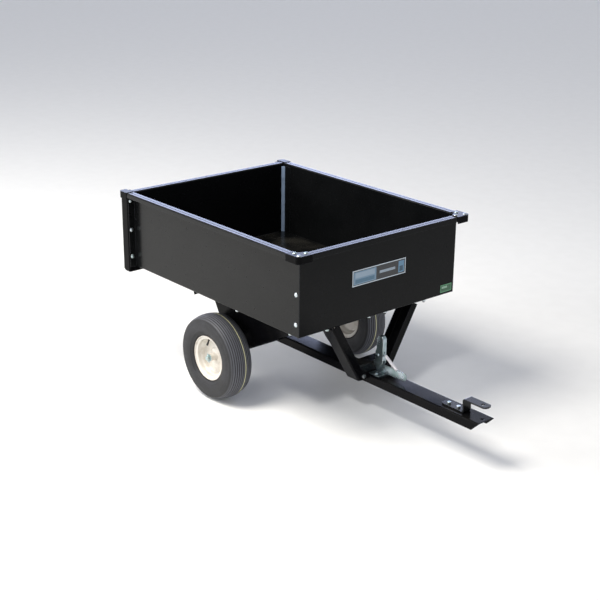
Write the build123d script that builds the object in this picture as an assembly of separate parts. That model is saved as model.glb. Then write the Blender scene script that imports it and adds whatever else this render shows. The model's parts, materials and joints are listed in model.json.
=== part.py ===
from build123d import *
import math
import os

# Two-wheeled steel dump cart. It is modelled with x = 0 at the rear end of the bed sides, +X towards
# the hitch, +Y to the left, z = 0 at the bottom edge of the bed. Every piece is then moved so that
# the origin is on the ground under the middle of the whole cart.

# ---- driving dimensions, millimetres ----
BED_LENGTH = 1000.0
BED_WIDTH = 762.0
BED_DEPTH = 305.0
SHEET = 2.0
RIM_OUT = 32.5
RIM_SKIRT = 18.0
BEND = 4.0
PANEL_RETURN = 30.0
FLOOR_FLANGE = 25.0

AXLE_X = 480.0
AXLE_Z = -238.5
AXLE_R = 7.94
AXLE_HALF = 392.0
PIVOT_GAP = 0.05
TRACK_HALF = 345.0

TYRE_R = 165.0
TYRE_WIDTH = 104.0
TYRE_WALL = 7.0
TREAD_ARC = 70.0
TREAD_GROOVES = (-31.5, -21.0, -10.5, 0.0, 10.5, 21.0, 31.5)
GROOVE_WIDTH = 2.6
GROOVE_DEPTH = 2.6
BEAD_Z = 33.2
VALVE_R = 4.0
VALVE_PLACE = Rot(0, 0, 115) * Pos(68, 0, 12) * Rot(0, -50, 0)
BEAD_R = 76.0
RIM_LIP_R = 87.5
RIM_HALF = 41.5
RIM_SHEET = 2.5
HUB_R = 15.0
HUB_HALF = 34.0
BUSH_R = 11.0

TONGUE_TOP = -227.0
TONGUE_WIDTH = 80.0
TONGUE_DEPTH = 33.0
TONGUE_SHEET = 3.0
TONGUE_REAR = 452.0
TONGUE_FRONT = 1527.0
TONGUE_NOSE_CUT = 30.0

STRAP_WIDTH = 38.0
STRAP_SHEET = 5.0
STRAP_REAR = 1334.0
STRAP_RISER = 1440.0
STRAP_FRONT = 1536.0
STRAP_TOP = -173.0
HITCH_PIN_X = 1510.0
HITCH_PIN_R = 6.75
STRAP_BOLTS = (1357.0, 1401.0)

STRUT_REAR = 919.0
STRUT_FRONT = 985.0
STRUT_DEPTH = 33.0
STRUT_SHEET = 3.0
STRUT_LEAN = 30.0
STRUT_INNER_Y = 183.5
STRUT_END_Z = -246.0

SUPPORT_Y = 262.0
SUPPORT_SHEET = 4.0
SUPPORT_FLANGE = 38.0

LATCH_PIVOT_X = 1008.0
LATCH_PIVOT_Z = -152.0
LATCH_PIN_R = 4.0
LEVER_HALF_WIDTH = 9.0
LEVER_SHEET = 2.5
LEVER_FRONT = 1032.0
STAND_SHEET = 4.0
ARM_TOP = -185.5
ARM_BOTTOM = -216.5
ARM_END = 1148.0
SPRING_R = 5.5
WIRE_R = 1.1

POST_DEPTH = 45.0
POST_SHEET = 3.0
POST_DROP = 18.0
CAP_ARM = 55.0
CAP_SHEET = 2.0
CAP_SKIRT = 27.0
REAR_OVERHANG = 50.0

BOLT_R = 4.0
BOLT_HOLE_R = 4.4
DOME_R = 8.5
DOME_H = 4.0
NUT_ACROSS = 13.0
NUT_H = 6.5
BOLT_HEIGHTS = (46.0, 155.0, 272.0)

FLOOR_BOLT_X = (640.0, 940.0)
CAP_BOLT_X = (BED_LENGTH - 12,)
FRONT_BOLT_Y = (-240.0, -40.0, 40.0, 240.0)
SUPPORT_BOLT_X = (420.0, 560.0, 800.0)
STRUT_FOOT_X = (930.0, 958.0)
STRUT_FOOT_Y = 232.0
RIB_X = 325.0
STRIKER_BOLT_Y = 57.0
STRIKER_BOLT_Z = -232.0
STAND_BOLTS = ((1011.0, -20.0), (1011.0, 20.0))
COTTER_Y = 386.0
SPRING_HOLE_X = 1112.0
SPRING_HOLE_Z = -197.0
SPRING_TOP = (1045.0, -147.5)
SPRING_END = (1098.0, -178.0)
LEVER_HOLE_Z = -140.0

# ---- sizes that follow ----
HALF = BED_WIDTH / 2
GROUND = AXLE_Z - TYRE_R
MIDDLE_X = (STRAP_FRONT - REAR_OVERHANG) / 2
RIM_EDGE = HALF + RIM_OUT
FLOOR_TOP = 2 * SHEET


# ---- small helpers ----
def block(x0, x1, y0, y1, z0, z1):
    """Box between two corners."""
    middle = Pos((x0 + x1) / 2, (y0 + y1) / 2, (z0 + z1) / 2)
    return middle * Box(x1 - x0, y1 - y0, z1 - z0)


def rod_x(y, z, radius, x0, x1):
    return Pos((x0 + x1) / 2, y, z) * Rot(0, 90, 0) * Cylinder(radius, x1 - x0)


def rod_y(x, z, radius, y0, y1):
    return Pos(x, (y0 + y1) / 2, z) * Rot(90, 0, 0) * Cylinder(radius, y1 - y0)


def rod_z(x, y, radius, z0, z1):
    return Pos(x, y, (z0 + z1) / 2) * Cylinder(radius, z1 - z0)


def folded(points, plane, length, thickness, bend=BEND):
    """Sheet metal bent along a middle line drawn on the plane, then drawn out by length."""
    path = FilletPolyline(*points, radius=bend) if len(points) > 2 else Line(*points)
    return extrude(plane * trace(path, thickness), amount=length)


def plate(points, plane, length):
    """Flat plate with a straight-sided outline."""
    return extrude(plane * make_face(Polyline(*points, close=True)), amount=length)


def mirrored(piece):
    """The same piece on the other side of the cart."""
    return mirror(piece, about=Plane.XZ)


def dome_head(radius=DOME_R, height=DOME_H):
    """Low round head with its flat face on z = 0."""
    ball = (radius**2 + height**2) / (2 * height)
    ring = block(-radius, radius, -radius, radius, 0, height)
    return (Pos(0, 0, height - ball) * Sphere(ball)) & ring


def carriage_bolt(length):
    """Dome head above z = 0 and a plain shank below."""
    return dome_head() + rod_z(0, 0, BOLT_R, -length, 0)


def hex_nut(bore=BOLT_R, across=NUT_ACROSS, height=NUT_H):
    """Nut on z = 0 with its bore just clear of the shank."""
    body = extrude(RegularPolygon(across / math.sqrt(3), 6), amount=height)
    return body - rod_z(0, 0, bore + 0.1, -1, height + 1)


def hex_bolt(length, across=NUT_ACROSS, head=5.5):
    """Hexagon head above z = 0 and a plain shank below."""
    return extrude(RegularPolygon(across / math.sqrt(3), 6), amount=head) + rod_z(0, 0, BOLT_R, -length, 0)


def group(pieces):
    """Separate solids kept together in one node."""
    return Compound(children=[solid for piece in pieces for solid in piece.solids()])


def both_sides(pieces):
    return pieces + [mirrored(piece) for piece in pieces]


FACE_RIGHT = Rot(90, 0, 0)
FACE_FRONT = Rot(0, 90, 0)
FACE_REAR = Rot(0, -90, 0)
FACE_DOWN = Rot(180, 0, 0)


# ---- bed ----
def rim_groove(piece, points, width=3.0, depth=0.8):
    """Shallow line pressed along the middle of a rim."""
    start, end = points
    low = BED_DEPTH - depth
    half = width / 2
    return piece - block(start[0] - half, end[0] + half, start[1] - half, end[1] + half, low, BED_DEPTH + 1)


def side_panel():
    """Right side: wall, floor flange below, rolled rim above and an outward flange at the rear end."""
    wall_y = -HALF + SHEET / 2
    top = BED_DEPTH - SHEET / 2
    section = [
        (wall_y + FLOOR_FLANGE, SHEET / 2),
        (wall_y, SHEET / 2),
        (wall_y, top),
        (-RIM_EDGE + SHEET / 2, top),
        (-RIM_EDGE + SHEET / 2, BED_DEPTH - RIM_SKIRT),
    ]
    panel = folded(section, Plane.YZ, BED_LENGTH, SHEET)
    flange = block(0, SHEET, -HALF - PANEL_RETURN + 3, -HALF + 0.2, 1, BED_DEPTH - SHEET)
    panel = panel + flange
    middle = -HALF - RIM_OUT / 2
    panel = rim_groove(panel, ((0, middle), (BED_LENGTH, middle)))
    panel -= block(BED_LENGTH - 5, BED_LENGTH + 1, -HALF + SHEET, -HALF + 40, -1, SHEET + BEND)
    for z in BOLT_HEIGHTS:
        panel -= rod_y(BED_LENGTH - 17, z, BOLT_HOLE_R, -HALF - 1, -HALF + SHEET + 1)
        panel -= rod_x(-HALF - 16, z, BOLT_HOLE_R, -1, SHEET + 1)
    for x in FLOOR_BOLT_X:
        panel -= rod_z(x, -HALF + 14, BOLT_HOLE_R, -1, SHEET + 1)
    for x in CAP_BOLT_X:
        panel -= rod_z(x, -HALF - 11, BOLT_HOLE_R, BED_DEPTH - SHEET - 1, BED_DEPTH + 1)
    return panel


def front_panel():
    """Front wall with side returns inside the bed sides, a floor flange and a rolled rim."""
    wall_x = BED_LENGTH - SHEET / 2
    top = BED_DEPTH - SHEET / 2
    inside = HALF - SHEET - 0.2
    section = [
        (wall_x - FLOOR_FLANGE, SHEET / 2),
        (wall_x, SHEET / 2),
        (wall_x, top),
        (BED_LENGTH + RIM_OUT - SHEET / 2, top),
        (BED_LENGTH + RIM_OUT - SHEET / 2, BED_DEPTH - RIM_SKIRT),
    ]
    panel = Pos(0, inside, 0) * folded(section, Plane.XZ, 2 * inside, SHEET)
    for side in (-1, 1):
        low, high = sorted((side * inside, side * (inside - SHEET)))
        panel += block(BED_LENGTH - 33, BED_LENGTH - 1, low, high, FLOOR_TOP + 0.3, BED_DEPTH - SHEET)
        for z in BOLT_HEIGHTS:
            panel -= rod_y(BED_LENGTH - 17, z, BOLT_HOLE_R, low - 1, high + 1)
        near, far = sorted((side * (HALF - FLOOR_FLANGE - 3), side * HALF))
        panel -= block(BED_LENGTH - 40, BED_LENGTH - BEND, near, far, -1, SHEET + 1)
        panel -= rod_z(BED_LENGTH + 11, side * (HALF - 18), BOLT_HOLE_R, BED_DEPTH - SHEET - 1, BED_DEPTH + 1)
    middle = BED_LENGTH + RIM_OUT / 2
    panel = rim_groove(panel, ((middle, -inside), (middle, inside)))
    for y in FRONT_BOLT_Y:
        panel -= rod_z(BED_LENGTH - 14, y, BOLT_HOLE_R, -1, SHEET + 1)
    return panel


def bed_floor():
    """Flat floor sheet lying on the panels' flanges."""
    inside = HALF - SHEET - BEND
    floor = block(1, BED_LENGTH - SHEET - BEND, -inside, inside, SHEET, FLOOR_TOP)
    for x, y in floor_bolt_places():
        floor -= rod_z(x, y, BOLT_HOLE_R, SHEET - 1, FLOOR_TOP + 1)
    return floor


def floor_bolt_places():
    """Bolts through the floor: side flanges, front flange, axle supports, ribs and strut feet."""
    sides = [(x, side * (HALF - 14)) for x in FLOOR_BOLT_X for side in (-1, 1)]
    front = [(BED_LENGTH - 14, y) for y in FRONT_BOLT_Y]
    supports = [(x, side * (SUPPORT_Y - 22)) for x in SUPPORT_BOLT_X for side in (-1, 1)]
    feet = [(x, side * STRUT_FOOT_Y) for x in STRUT_FOOT_X for side in (-1, 1)]
    ribs = [(RIB_X + 84, side * 180) for side in (-1, 1)]
    return sides + front + supports + feet + ribs


def floor_rib():
    """Cross rib under the floor: an upright web folded back up in a slope, with a bolting lip."""
    lip = SHEET / 2
    section = [(RIB_X, lip), (RIB_X + 9, -36), (RIB_X + 68, lip), (RIB_X + 96, lip)]
    half = HALF - 42
    rib = Pos(0, half, 0) * folded(section, Plane.XZ, 2 * half, SHEET, bend=3)
    rib -= block(RIB_X - 20, RIB_X + 120, -half - 1, half + 1, SHEET, 20)
    for side in (-1, 1):
        near, far = sorted((side * (SUPPORT_Y - SUPPORT_FLANGE - 5), side * (SUPPORT_Y + 5)))
        rib -= block(RIB_X + 11, RIB_X + 120, near, far, -60, 20)
        rib -= rod_z(RIB_X + 84, side * 180, BOLT_HOLE_R, -3, 5)
    return rib


def tailgate_post():
    """Right rear post: a channel round the tailgate's edge, bolted to the side's rear flange."""
    outer = -RIM_EDGE + POST_SHEET / 2 + SHEET + 0.3
    front = -POST_SHEET / 2
    section = [
        (front, -HALF + 1.5),
        (front, outer),
        (-POST_DEPTH + POST_SHEET / 2, outer),
        (-POST_DEPTH + POST_SHEET / 2, -HALF + 14),
    ]
    top = BED_DEPTH - SHEET - 0.3
    post = Pos(0, 0, -POST_DROP) * folded(section, Plane.XY, top + POST_DROP, POST_SHEET, bend=5)
    foot = block(-POST_SHEET, 0, -HALF + 1, -HALF + 36, -POST_DROP, -0.3)
    post += foot
    corner = block(-POST_DEPTH - 1, -POST_DEPTH + 22, -500, -200, -POST_DROP - 1, -POST_DROP + 22)
    rounding = corner - rod_y(-POST_DEPTH + 22, -POST_DROP + 22, 22, -501, -199)
    post -= rounding
    for z in BOLT_HEIGHTS:
        post -= rod_x(-HALF - 16, z, BOLT_HOLE_R, -POST_SHEET - 1, 1)
    return post


def tailgate_jamb():
    """Right inner jamb: lies on the side's inner face and leans in front of the tailgate's edge."""
    inner = -HALF + SHEET + 0.2 + 1
    section = [(45, inner), (18, inner), (3, inner + 14)]
    height = BED_DEPTH - 12 - FLOOR_TOP
    return Pos(0, 0, FLOOR_TOP + 0.2) * folded(section, Plane.XY, height, SHEET, bend=3)


def tailgate():
    """Lift-out tailgate: a pan that slides up in the posts, with a rim like the other sides."""
    half = HALF - 3
    face_x = -3.0
    edge_x = -RIM_OUT
    top = BED_DEPTH - SHEET / 2
    section = [
        (edge_x, 1.0),
        (face_x, 1.0),
        (face_x, top),
        (edge_x, top),
        (edge_x, BED_DEPTH - RIM_SKIRT),
    ]
    gate = Pos(0, half, 0) * folded(section, Plane.XZ, 2 * half, SHEET)
    for side in (-1, 1):
        low, high = sorted((side * half, side * (half - SHEET)))
        gate += block(edge_x, face_x, low, high, 6, BED_DEPTH - RIM_SKIRT - 2)
    middle = (edge_x + face_x) / 2
    return rim_groove(gate, ((middle, -half), (middle, half)))


def corner_cap_front():
    """Right front corner cap: rounded shell over the gap between the side and front rims."""
    inner_x = BED_LENGTH + RIM_OUT - CAP_ARM
    inner_y = -RIM_EDGE + CAP_ARM
    edge = 0.3 + CAP_SHEET
    far_x = BED_LENGTH + RIM_OUT + edge
    far_y = -RIM_EDGE - edge
    outline = [
        (inner_x - 10, far_y),
        (far_x, far_y),
        (far_x, inner_y + 6),
        (BED_LENGTH + 2, inner_y + 6),
        (BED_LENGTH - 14, -HALF - 2),
        (inner_x - 10, -HALF - 2),
    ]
    body = plate(outline, Plane.XY.offset(BED_DEPTH + CAP_SHEET - CAP_SKIRT), CAP_SKIRT)
    corner = body.edges().filter_by(Axis.Z).sort_by(lambda e: e.center().Y - e.center().X)[0]
    body = fillet(corner, 16)
    hollow_top = BED_DEPTH + 0.1
    hollow = block(inner_x - 60, far_x - CAP_SHEET, far_y + CAP_SHEET, -200, 0, hollow_top)
    inner_edge = hollow.edges().filter_by(Axis.Z).sort_by(lambda e: e.center().Y - e.center().X)[0]
    body -= fillet(inner_edge, 14)
    for x, y in front_cap_bolts():
        body -= rod_z(x, y, BOLT_HOLE_R, BED_DEPTH - 1, BED_DEPTH + CAP_SHEET + 1)
    return body


def front_cap_bolts():
    return (
        (BED_LENGTH - 12, -HALF - 11),
        (BED_LENGTH + 11, -HALF + 18),
        (BED_LENGTH + 21, -HALF - 21),
    )


def corner_cap_rear():
    """Right rear corner cap, closing the top of the tailgate post."""
    edge = 0.3 + CAP_SHEET
    far_y = -RIM_EDGE - edge
    x0 = -REAR_OVERHANG
    body = block(x0, -0.3, far_y, -HALF - 2, BED_DEPTH + CAP_SHEET - CAP_SKIRT, BED_DEPTH + CAP_SHEET)
    corner = body.edges().filter_by(Axis.Z).sort_by(lambda e: e.center().Y + e.center().X)[0]
    body = fillet(corner, 12)
    hollow = block(x0 + CAP_SHEET, 10, far_y + CAP_SHEET, -300, 0, BED_DEPTH + 0.1)
    inner_edge = hollow.edges().filter_by(Axis.Z).sort_by(lambda e: e.center().Y + e.center().X)[0]
    return body - fillet(inner_edge, 10)


def axle_support():
    """Right axle support: a broad gusset plate under the floor with a bolting flange on top."""
    y0 = -SUPPORT_Y - SUPPORT_SHEET / 2
    outline = [
        (340, SHEET),
        (352, -50),
        (392, -118),
        (AXLE_X - 34, AXLE_Z - 6),
        (AXLE_X - 20, AXLE_Z - 26),
        (AXLE_X + 20, AXLE_Z - 26),
        (AXLE_X + 52, AXLE_Z + 20),
        (600, -183),
        (752, -105),
        (900, -28),
        (905, SHEET),
    ]
    support = Pos(0, y0 + SUPPORT_SHEET, 0) * plate(outline, Plane.XZ, SUPPORT_SHEET)
    support = fillet(support.edges().filter_by(Axis.Y).filter_by_position(Axis.Z, -300, -40), 14)
    inner = -SUPPORT_Y + SUPPORT_FLANGE
    support += block(345, 900, -SUPPORT_Y, inner, SHEET - SUPPORT_SHEET, SHEET)
    for x in SUPPORT_BOLT_X:
        support -= rod_z(x, -SUPPORT_Y + 22, BOLT_HOLE_R, -5, 5)
    return support - rod_y(AXLE_X, AXLE_Z, BUSH_R + 0.05, -SUPPORT_Y - 10, -SUPPORT_Y + 10)


def pivot_bushes():
    """Flanged plain bearings in the axle supports: the bed tips on the axle in these."""
    half = SUPPORT_SHEET / 2
    bush = rod_y(AXLE_X, AXLE_Z, BUSH_R, -SUPPORT_Y - half, -SUPPORT_Y + half + 6)
    bush += rod_y(AXLE_X, AXLE_Z, 17, -SUPPORT_Y - half - 2.5, -SUPPORT_Y - half)
    bush -= rod_y(AXLE_X, AXLE_Z, AXLE_R + PIVOT_GAP, -SUPPORT_Y - 20, -SUPPORT_Y + 20)
    return group(both_sides([bush]))


def strut():
    """Right strut: channel open towards the middle, from a foot under the floor to the striker."""
    lean = math.radians(STRUT_LEAN)
    down_in = (0, math.sin(lean), -math.cos(lean))
    plane = Plane(origin=(0, -STRUT_INNER_Y, 0), x_dir=(1, 0, 0), z_dir=down_in)
    half_sheet = STRUT_SHEET / 2
    rear, front, web = STRUT_REAR + half_sheet, STRUT_FRONT - half_sheet, STRUT_DEPTH - half_sheet
    section = [(rear, 0), (rear, web), (front, web), (front, 0)]
    length = (abs(STRUT_END_Z) + 40) / math.cos(lean)
    channel = folded(section, plane, length, STRUT_SHEET, bend=5)
    channel = channel & block(800, 1100, -400, -20, STRUT_END_Z, -2 * SHEET)
    outer_y = -STRUT_INNER_Y - STRUT_DEPTH / math.cos(lean)
    channel += block(STRUT_REAR, STRUT_FRONT - 14, -STRUT_FOOT_Y - 16, outer_y + 40, -2 * SHEET, SHEET)
    for x in STRUT_FOOT_X:
        channel -= rod_z(x, -STRUT_FOOT_Y, BOLT_HOLE_R, -10, 5)
    return channel - rod_x(-STRIKER_BOLT_Y, STRIKER_BOLT_Z, BOLT_HOLE_R, STRUT_REAR - 1, STRUT_FRONT + 1)


def latch_striker():
    """Saddle over the tongue, bolted between the struts: the latch holds the bed down by it."""
    gap = STRUT_SHEET + 0.2
    rear, front = STRUT_REAR + gap, STRUT_FRONT - gap
    top, low = -188.0, -244.0
    section = [(rear + 1.5, low), (rear + 1.5, top - 1.5), (front - 1.5, top - 1.5), (front - 1.5, low)]
    saddle = Pos(0, 110, 0) * folded(section, Plane.XZ, 220, STRUT_SHEET, bend=6)
    lean = math.radians(STRUT_LEAN)
    reach = STRUT_INNER_Y + (STRUT_DEPTH - STRUT_SHEET) / math.cos(lean) - 6
    half_top = reach + top * math.tan(lean)
    half_low = reach + low * math.tan(lean)
    outline = [(-half_low, low), (-half_top, top), (half_top, top), (half_low, low)]
    saddle = saddle & plate(outline, Plane.YZ.offset(800), 300)
    notch = TONGUE_WIDTH / 2 + 3
    saddle -= block(800, 1100, -notch, notch, -300, TONGUE_TOP + 1)
    for side in (-1, 1):
        saddle -= rod_x(side * STRIKER_BOLT_Y, STRIKER_BOLT_Z, BOLT_HOLE_R, rear - 1, front + 1)
    return saddle


# ---- running gear ----
def tongue():
    """Inverted channel from the axle to the hitch; the flanges are cut back at the nose."""
    t = TONGUE_SHEET / 2
    side = TONGUE_WIDTH / 2 - t
    low = TONGUE_TOP - TONGUE_DEPTH
    section = [(-side, low), (-side, TONGUE_TOP - t), (side, TONGUE_TOP - t), (side, low)]
    bar = Pos(TONGUE_REAR, 0, 0) * folded(section, Plane.YZ, TONGUE_FRONT - TONGUE_REAR, TONGUE_SHEET, bend=4)
    nose = [
        (TONGUE_FRONT, TONGUE_TOP - 4),
        (TONGUE_FRONT + 5, low - 5),
        (TONGUE_FRONT - TONGUE_NOSE_CUT, low - 5),
        (TONGUE_FRONT - TONGUE_NOSE_CUT, low),
    ]
    bar -= Pos(0, 100, 0) * plate(nose, Plane.XZ, 200)
    bar -= rod_y(AXLE_X, AXLE_Z, AXLE_R + PIVOT_GAP, -60, 60)
    bar -= rod_z(HITCH_PIN_X, 0, HITCH_PIN_R, -300, -200)
    for x in STRAP_BOLTS:
        bar -= rod_z(x, 0, BOLT_HOLE_R, -300, -200)
    for x, y in STAND_BOLTS:
        bar -= rod_z(x, y, BOLT_HOLE_R, -300, -200)
    return bar


def hitch_strap():
    """Z-shaped strap bolted on the tongue: with the tongue it makes the fork for a tow bar."""
    t = STRAP_SHEET / 2
    low = TONGUE_TOP + t
    high = STRAP_TOP - t
    section = [(STRAP_REAR, low), (STRAP_RISER - t, low), (STRAP_RISER - t, high), (STRAP_FRONT, high)]
    half = STRAP_WIDTH / 2
    strap = Pos(0, half, 0) * folded(section, Plane.XZ, STRAP_WIDTH, STRAP_SHEET, bend=5)
    ends = strap.edges().filter_by(Axis.Z)
    rounded = [e for e in ends if e.center().X < STRAP_REAR + 1 or e.center().X > STRAP_FRONT - 1]
    strap = fillet(rounded, 15)
    strap -= rod_z(HITCH_PIN_X, 0, HITCH_PIN_R, -200, -100)
    for x in STRAP_BOLTS:
        strap -= rod_z(x, 0, BOLT_HOLE_R, -300, -200)
    return strap


def hitch_bolts():
    length = STRAP_SHEET + TONGUE_SHEET + NUT_H + 3
    return group([Pos(x, 0, TONGUE_TOP + STRAP_SHEET) * hex_bolt(length) for x in STRAP_BOLTS])


def hitch_nuts():
    nut = FACE_DOWN * hex_nut()
    return group([Pos(x, 0, TONGUE_TOP - TONGUE_SHEET) * nut for x in STRAP_BOLTS])


def axle():
    """Plain steel axle with a cross hole near each end for a cotter pin."""
    shaft = rod_y(AXLE_X, AXLE_Z, AXLE_R, -AXLE_HALF, AXLE_HALF)
    for side in (-1, 1):
        shaft -= rod_z(AXLE_X, side * COTTER_Y, 2.0, AXLE_Z - 20, AXLE_Z + 20)
    return shaft


def axle_tube(y0, y1):
    """Spacer tube on the axle."""
    tube = rod_y(AXLE_X, AXLE_Z, 12.5, y0, y1)
    return tube - rod_y(AXLE_X, AXLE_Z, AXLE_R + 0.3, y0 - 1, y1 + 1)


def inner_spacers():
    """Keep the tongue in the middle of the axle."""
    start = TONGUE_WIDTH / 2 + 0.3
    end = SUPPORT_Y - SUPPORT_SHEET / 2 - 6.5
    return group(both_sides([axle_tube(-end, -start)]))


def outer_spacers():
    """Hold each wheel off its axle support."""
    start = SUPPORT_Y + SUPPORT_SHEET / 2 + 3.0
    end = TRACK_HALF - HUB_HALF - 2.5
    return group(both_sides([axle_tube(-end, -start)]))


def hub_washers():
    """Flat washer on each side of each hub."""
    pieces = []
    for y in (TRACK_HALF - HUB_HALF - 2.3, TRACK_HALF + HUB_HALF + 0.3):
        washer = rod_y(AXLE_X, AXLE_Z, 15, -y - 2, -y)
        pieces.append(washer - rod_y(AXLE_X, AXLE_Z, AXLE_R + 0.3, -y - 3, -y + 1))
    return group(both_sides(pieces))


def cotter_pins():
    """Split pin through each axle end: an eye above and one bent leg below."""
    shank = rod_z(AXLE_X, -COTTER_Y, 1.7, AXLE_Z - 14, AXLE_Z + 11)
    eye = Pos(AXLE_X, -COTTER_Y, AXLE_Z + 14) * Rot(90, 0, 0) * Torus(3.4, 1.5)
    leg = Pos(AXLE_X + 5, -COTTER_Y, AXLE_Z - 14) * Rot(0, 90, 0) * Cylinder(1.5, 13)
    return group(both_sides([shank + eye + leg]))


def wheel_place(side):
    return Pos(AXLE_X, side * TRACK_HALF, AXLE_Z) * Rot(90, 0, 0)


def tyre_wall(depth):
    """Half of the carcass section at a depth below the outer surface, from the crown to the rim."""
    centre, turn = TYRE_R - TREAD_ARC, math.radians(36)
    arc = TREAD_ARC - depth
    crown = [(centre + arc * math.cos(a), arc * math.sin(a)) for a in (0, turn / 2, turn)]
    tread = ThreePointArc(*crown)
    side = TangentArc(crown[2], (126, TYRE_WIDTH / 2 - depth), tangent=tread % 1)
    low = TangentArc(side @ 1, (90.5 + depth, 43 - 0.8 * depth), tangent=side % 1)
    return tread, side, low


def tyre():
    """Hollow pneumatic tyre with grooves round the tread; axis on z, middle at z = 0."""
    outer = tyre_wall(0)
    inner = tyre_wall(TYRE_WALL)
    foot_r = BEAD_R + 0.1
    bead = Polyline(
        outer[2] @ 1,
        (89.2, BEAD_Z),
        (foot_r + 3, BEAD_Z),
        (foot_r, BEAD_Z - 3),
        (foot_r, BEAD_Z - 11),
        (foot_r + TYRE_WALL, BEAD_Z - 11),
        inner[2] @ 1,
    )
    closing = Line(inner[0] @ 0, outer[0] @ 0)
    profile = make_face(Curve() + [*outer, bead, *inner, closing])
    half_body = revolve(Plane.XZ * profile, Axis.Z)
    body = half_body + mirror(half_body, about=Plane.XY)
    for z in TREAD_GROOVES:
        surface = TYRE_R - TREAD_ARC + math.sqrt(TREAD_ARC**2 - z**2)
        ring = Cylinder(surface + 8, GROOVE_WIDTH) - Cylinder(surface - GROOVE_DEPTH, GROOVE_WIDTH + 2)
        body -= Pos(0, 0, z) * ring
    return body


def wheel_rim():
    """Welded steel rim: two dished halves with rolled lips on a hub tube; axis on z."""
    t = RIM_SHEET / 2
    seat = BEAD_R - t - 0.2
    flange = BEAD_Z + t + 0.4
    section = [
        (HUB_R + t + 0.4, 12),
        (HUB_R + t + 0.4, 4),
        (58, t + 0.02),
        (67, 5),
        (70.5, 16),
        (seat, 21),
        (seat, flange),
        (RIM_LIP_R - 3, flange),
        (RIM_LIP_R - t, RIM_HALF),
    ]
    face = trace(FilletPolyline(*section, radius=3), RIM_SHEET)
    outer = revolve(Plane.XZ * face, Axis.Z)
    hole = VALVE_PLACE * Cylinder(VALVE_R + 0.3, 14)
    return group([outer - hole, mirror(outer, about=Plane.XY)])


def hub():
    """Tube through the rim with a bore for the bearings."""
    tube = Cylinder(HUB_R, 2 * HUB_HALF)
    return tube - Cylinder(BUSH_R + 0.3, 2 * HUB_HALF + 2)


def hub_bearings():
    """Flanged plain bearing pressed in each end of the hub."""
    pieces = []
    for side in (-1, 1):
        low, high = sorted((side * (HUB_HALF - 20), side * HUB_HALF))
        bearing = rod_z(0, 0, BUSH_R + 0.2, low, high)
        pieces.append(bearing - rod_z(0, 0, AXLE_R + PIVOT_GAP, low - 1, high + 1))
    return group(pieces)


def tyre_valve():
    """Rubber valve stem through the well of the rim, with its cap."""
    stem = Cylinder(VALVE_R, 12) + Pos(0, 0, 12) * Cylinder(3.2, 14) + Pos(0, 0, 22) * Cylinder(4.0, 10)
    return VALVE_PLACE * stem


# ---- latch ----
def latch_stand():
    """Base plate on the tongue with an upright plate that runs on as an arm to hold the spring."""
    half = STAND_SHEET / 2
    base_low, base_high = TONGUE_TOP, TONGUE_TOP + STAND_SHEET
    base = block(987, 1036, -31, 31, base_low, base_high)
    outline = [
        (994, base_low + 1),
        (994, LATCH_PIVOT_Z),
        (994 + 4, LATCH_PIVOT_Z + 10),
        (LATCH_PIVOT_X + 10, LATCH_PIVOT_Z + 10),
        (1022, LATCH_PIVOT_Z),
        (1024, ARM_TOP),
        (ARM_END - 15.5, ARM_TOP),
        (ARM_END - 15.5, ARM_BOTTOM),
        (1040, ARM_BOTTOM),
        (1034, base_low + 1),
    ]
    upright = Pos(0, half, 0) * plate(outline, Plane.XZ, STAND_SHEET)
    tip_r = (ARM_TOP - ARM_BOTTOM) / 2
    upright += rod_y(ARM_END - 15.5, (ARM_TOP + ARM_BOTTOM) / 2, tip_r, -half, half)
    stand = base + upright
    stand -= rod_y(LATCH_PIVOT_X, LATCH_PIVOT_Z, LATCH_PIN_R + 0.1, -10, 10)
    stand -= rod_y(SPRING_HOLE_X, SPRING_HOLE_Z, 3.5, -10, 10)
    stand -= rod_y(ARM_END - 16, -203.5, 3.2, -10, 10)
    for x, y in STAND_BOLTS:
        stand -= rod_z(x, y, BOLT_HOLE_R, base_low - 1, base_high + 1)
    return stand


def latch_lever():
    """Channel-shaped hand lever over the upright plate, with a nose over the striker's edge."""
    w = LEVER_HALF_WIDTH
    t = LEVER_SHEET
    outline = [
        (1000, -92),
        (1000, -128),
        (994.5, -144),
        (994.5, -158),
        (998, -168),
        (988, -180),
        (988, -190),
        (998, -203),
        (1012, -205),
        (LEVER_FRONT, -180),
        (LEVER_FRONT, -88),
        (1024, -78),
        (1009, -77),
    ]
    solid = Pos(0, w, 0) * plate(outline, Plane.XZ, 2 * w)
    solid = fillet(solid.edges().filter_by(Axis.Y).filter_by_position(Axis.Z, -100, -70), 6)
    inner = [
        (900, -300),
        (900, -112),
        (1000, -104),
        (LEVER_FRONT - t - 6, -94),
        (LEVER_FRONT - t, -100),
        (LEVER_FRONT - t, -170),
        (LEVER_FRONT + 30, -178),
        (LEVER_FRONT + 30, -300),
    ]
    solid -= Pos(0, w - t, 0) * plate(inner, Plane.XZ, 2 * (w - t))
    solid -= rod_y(LATCH_PIVOT_X, LATCH_PIVOT_Z, LATCH_PIN_R + PIVOT_GAP, -20, 20)
    return solid - rod_x(0, LEVER_HOLE_Z, 3.6, LEVER_FRONT - 10, LEVER_FRONT + 10)


def latch_pin():
    """Riveted pin through the lever and the upright plate."""
    w = LEVER_HALF_WIDTH + 0.4
    pin = rod_y(LATCH_PIVOT_X, LATCH_PIVOT_Z, LATCH_PIN_R, -w, w)
    head = Pos(LATCH_PIVOT_X, -w, LATCH_PIVOT_Z) * FACE_RIGHT * dome_head(7, 3)
    return pin + head + mirrored(head)


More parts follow.
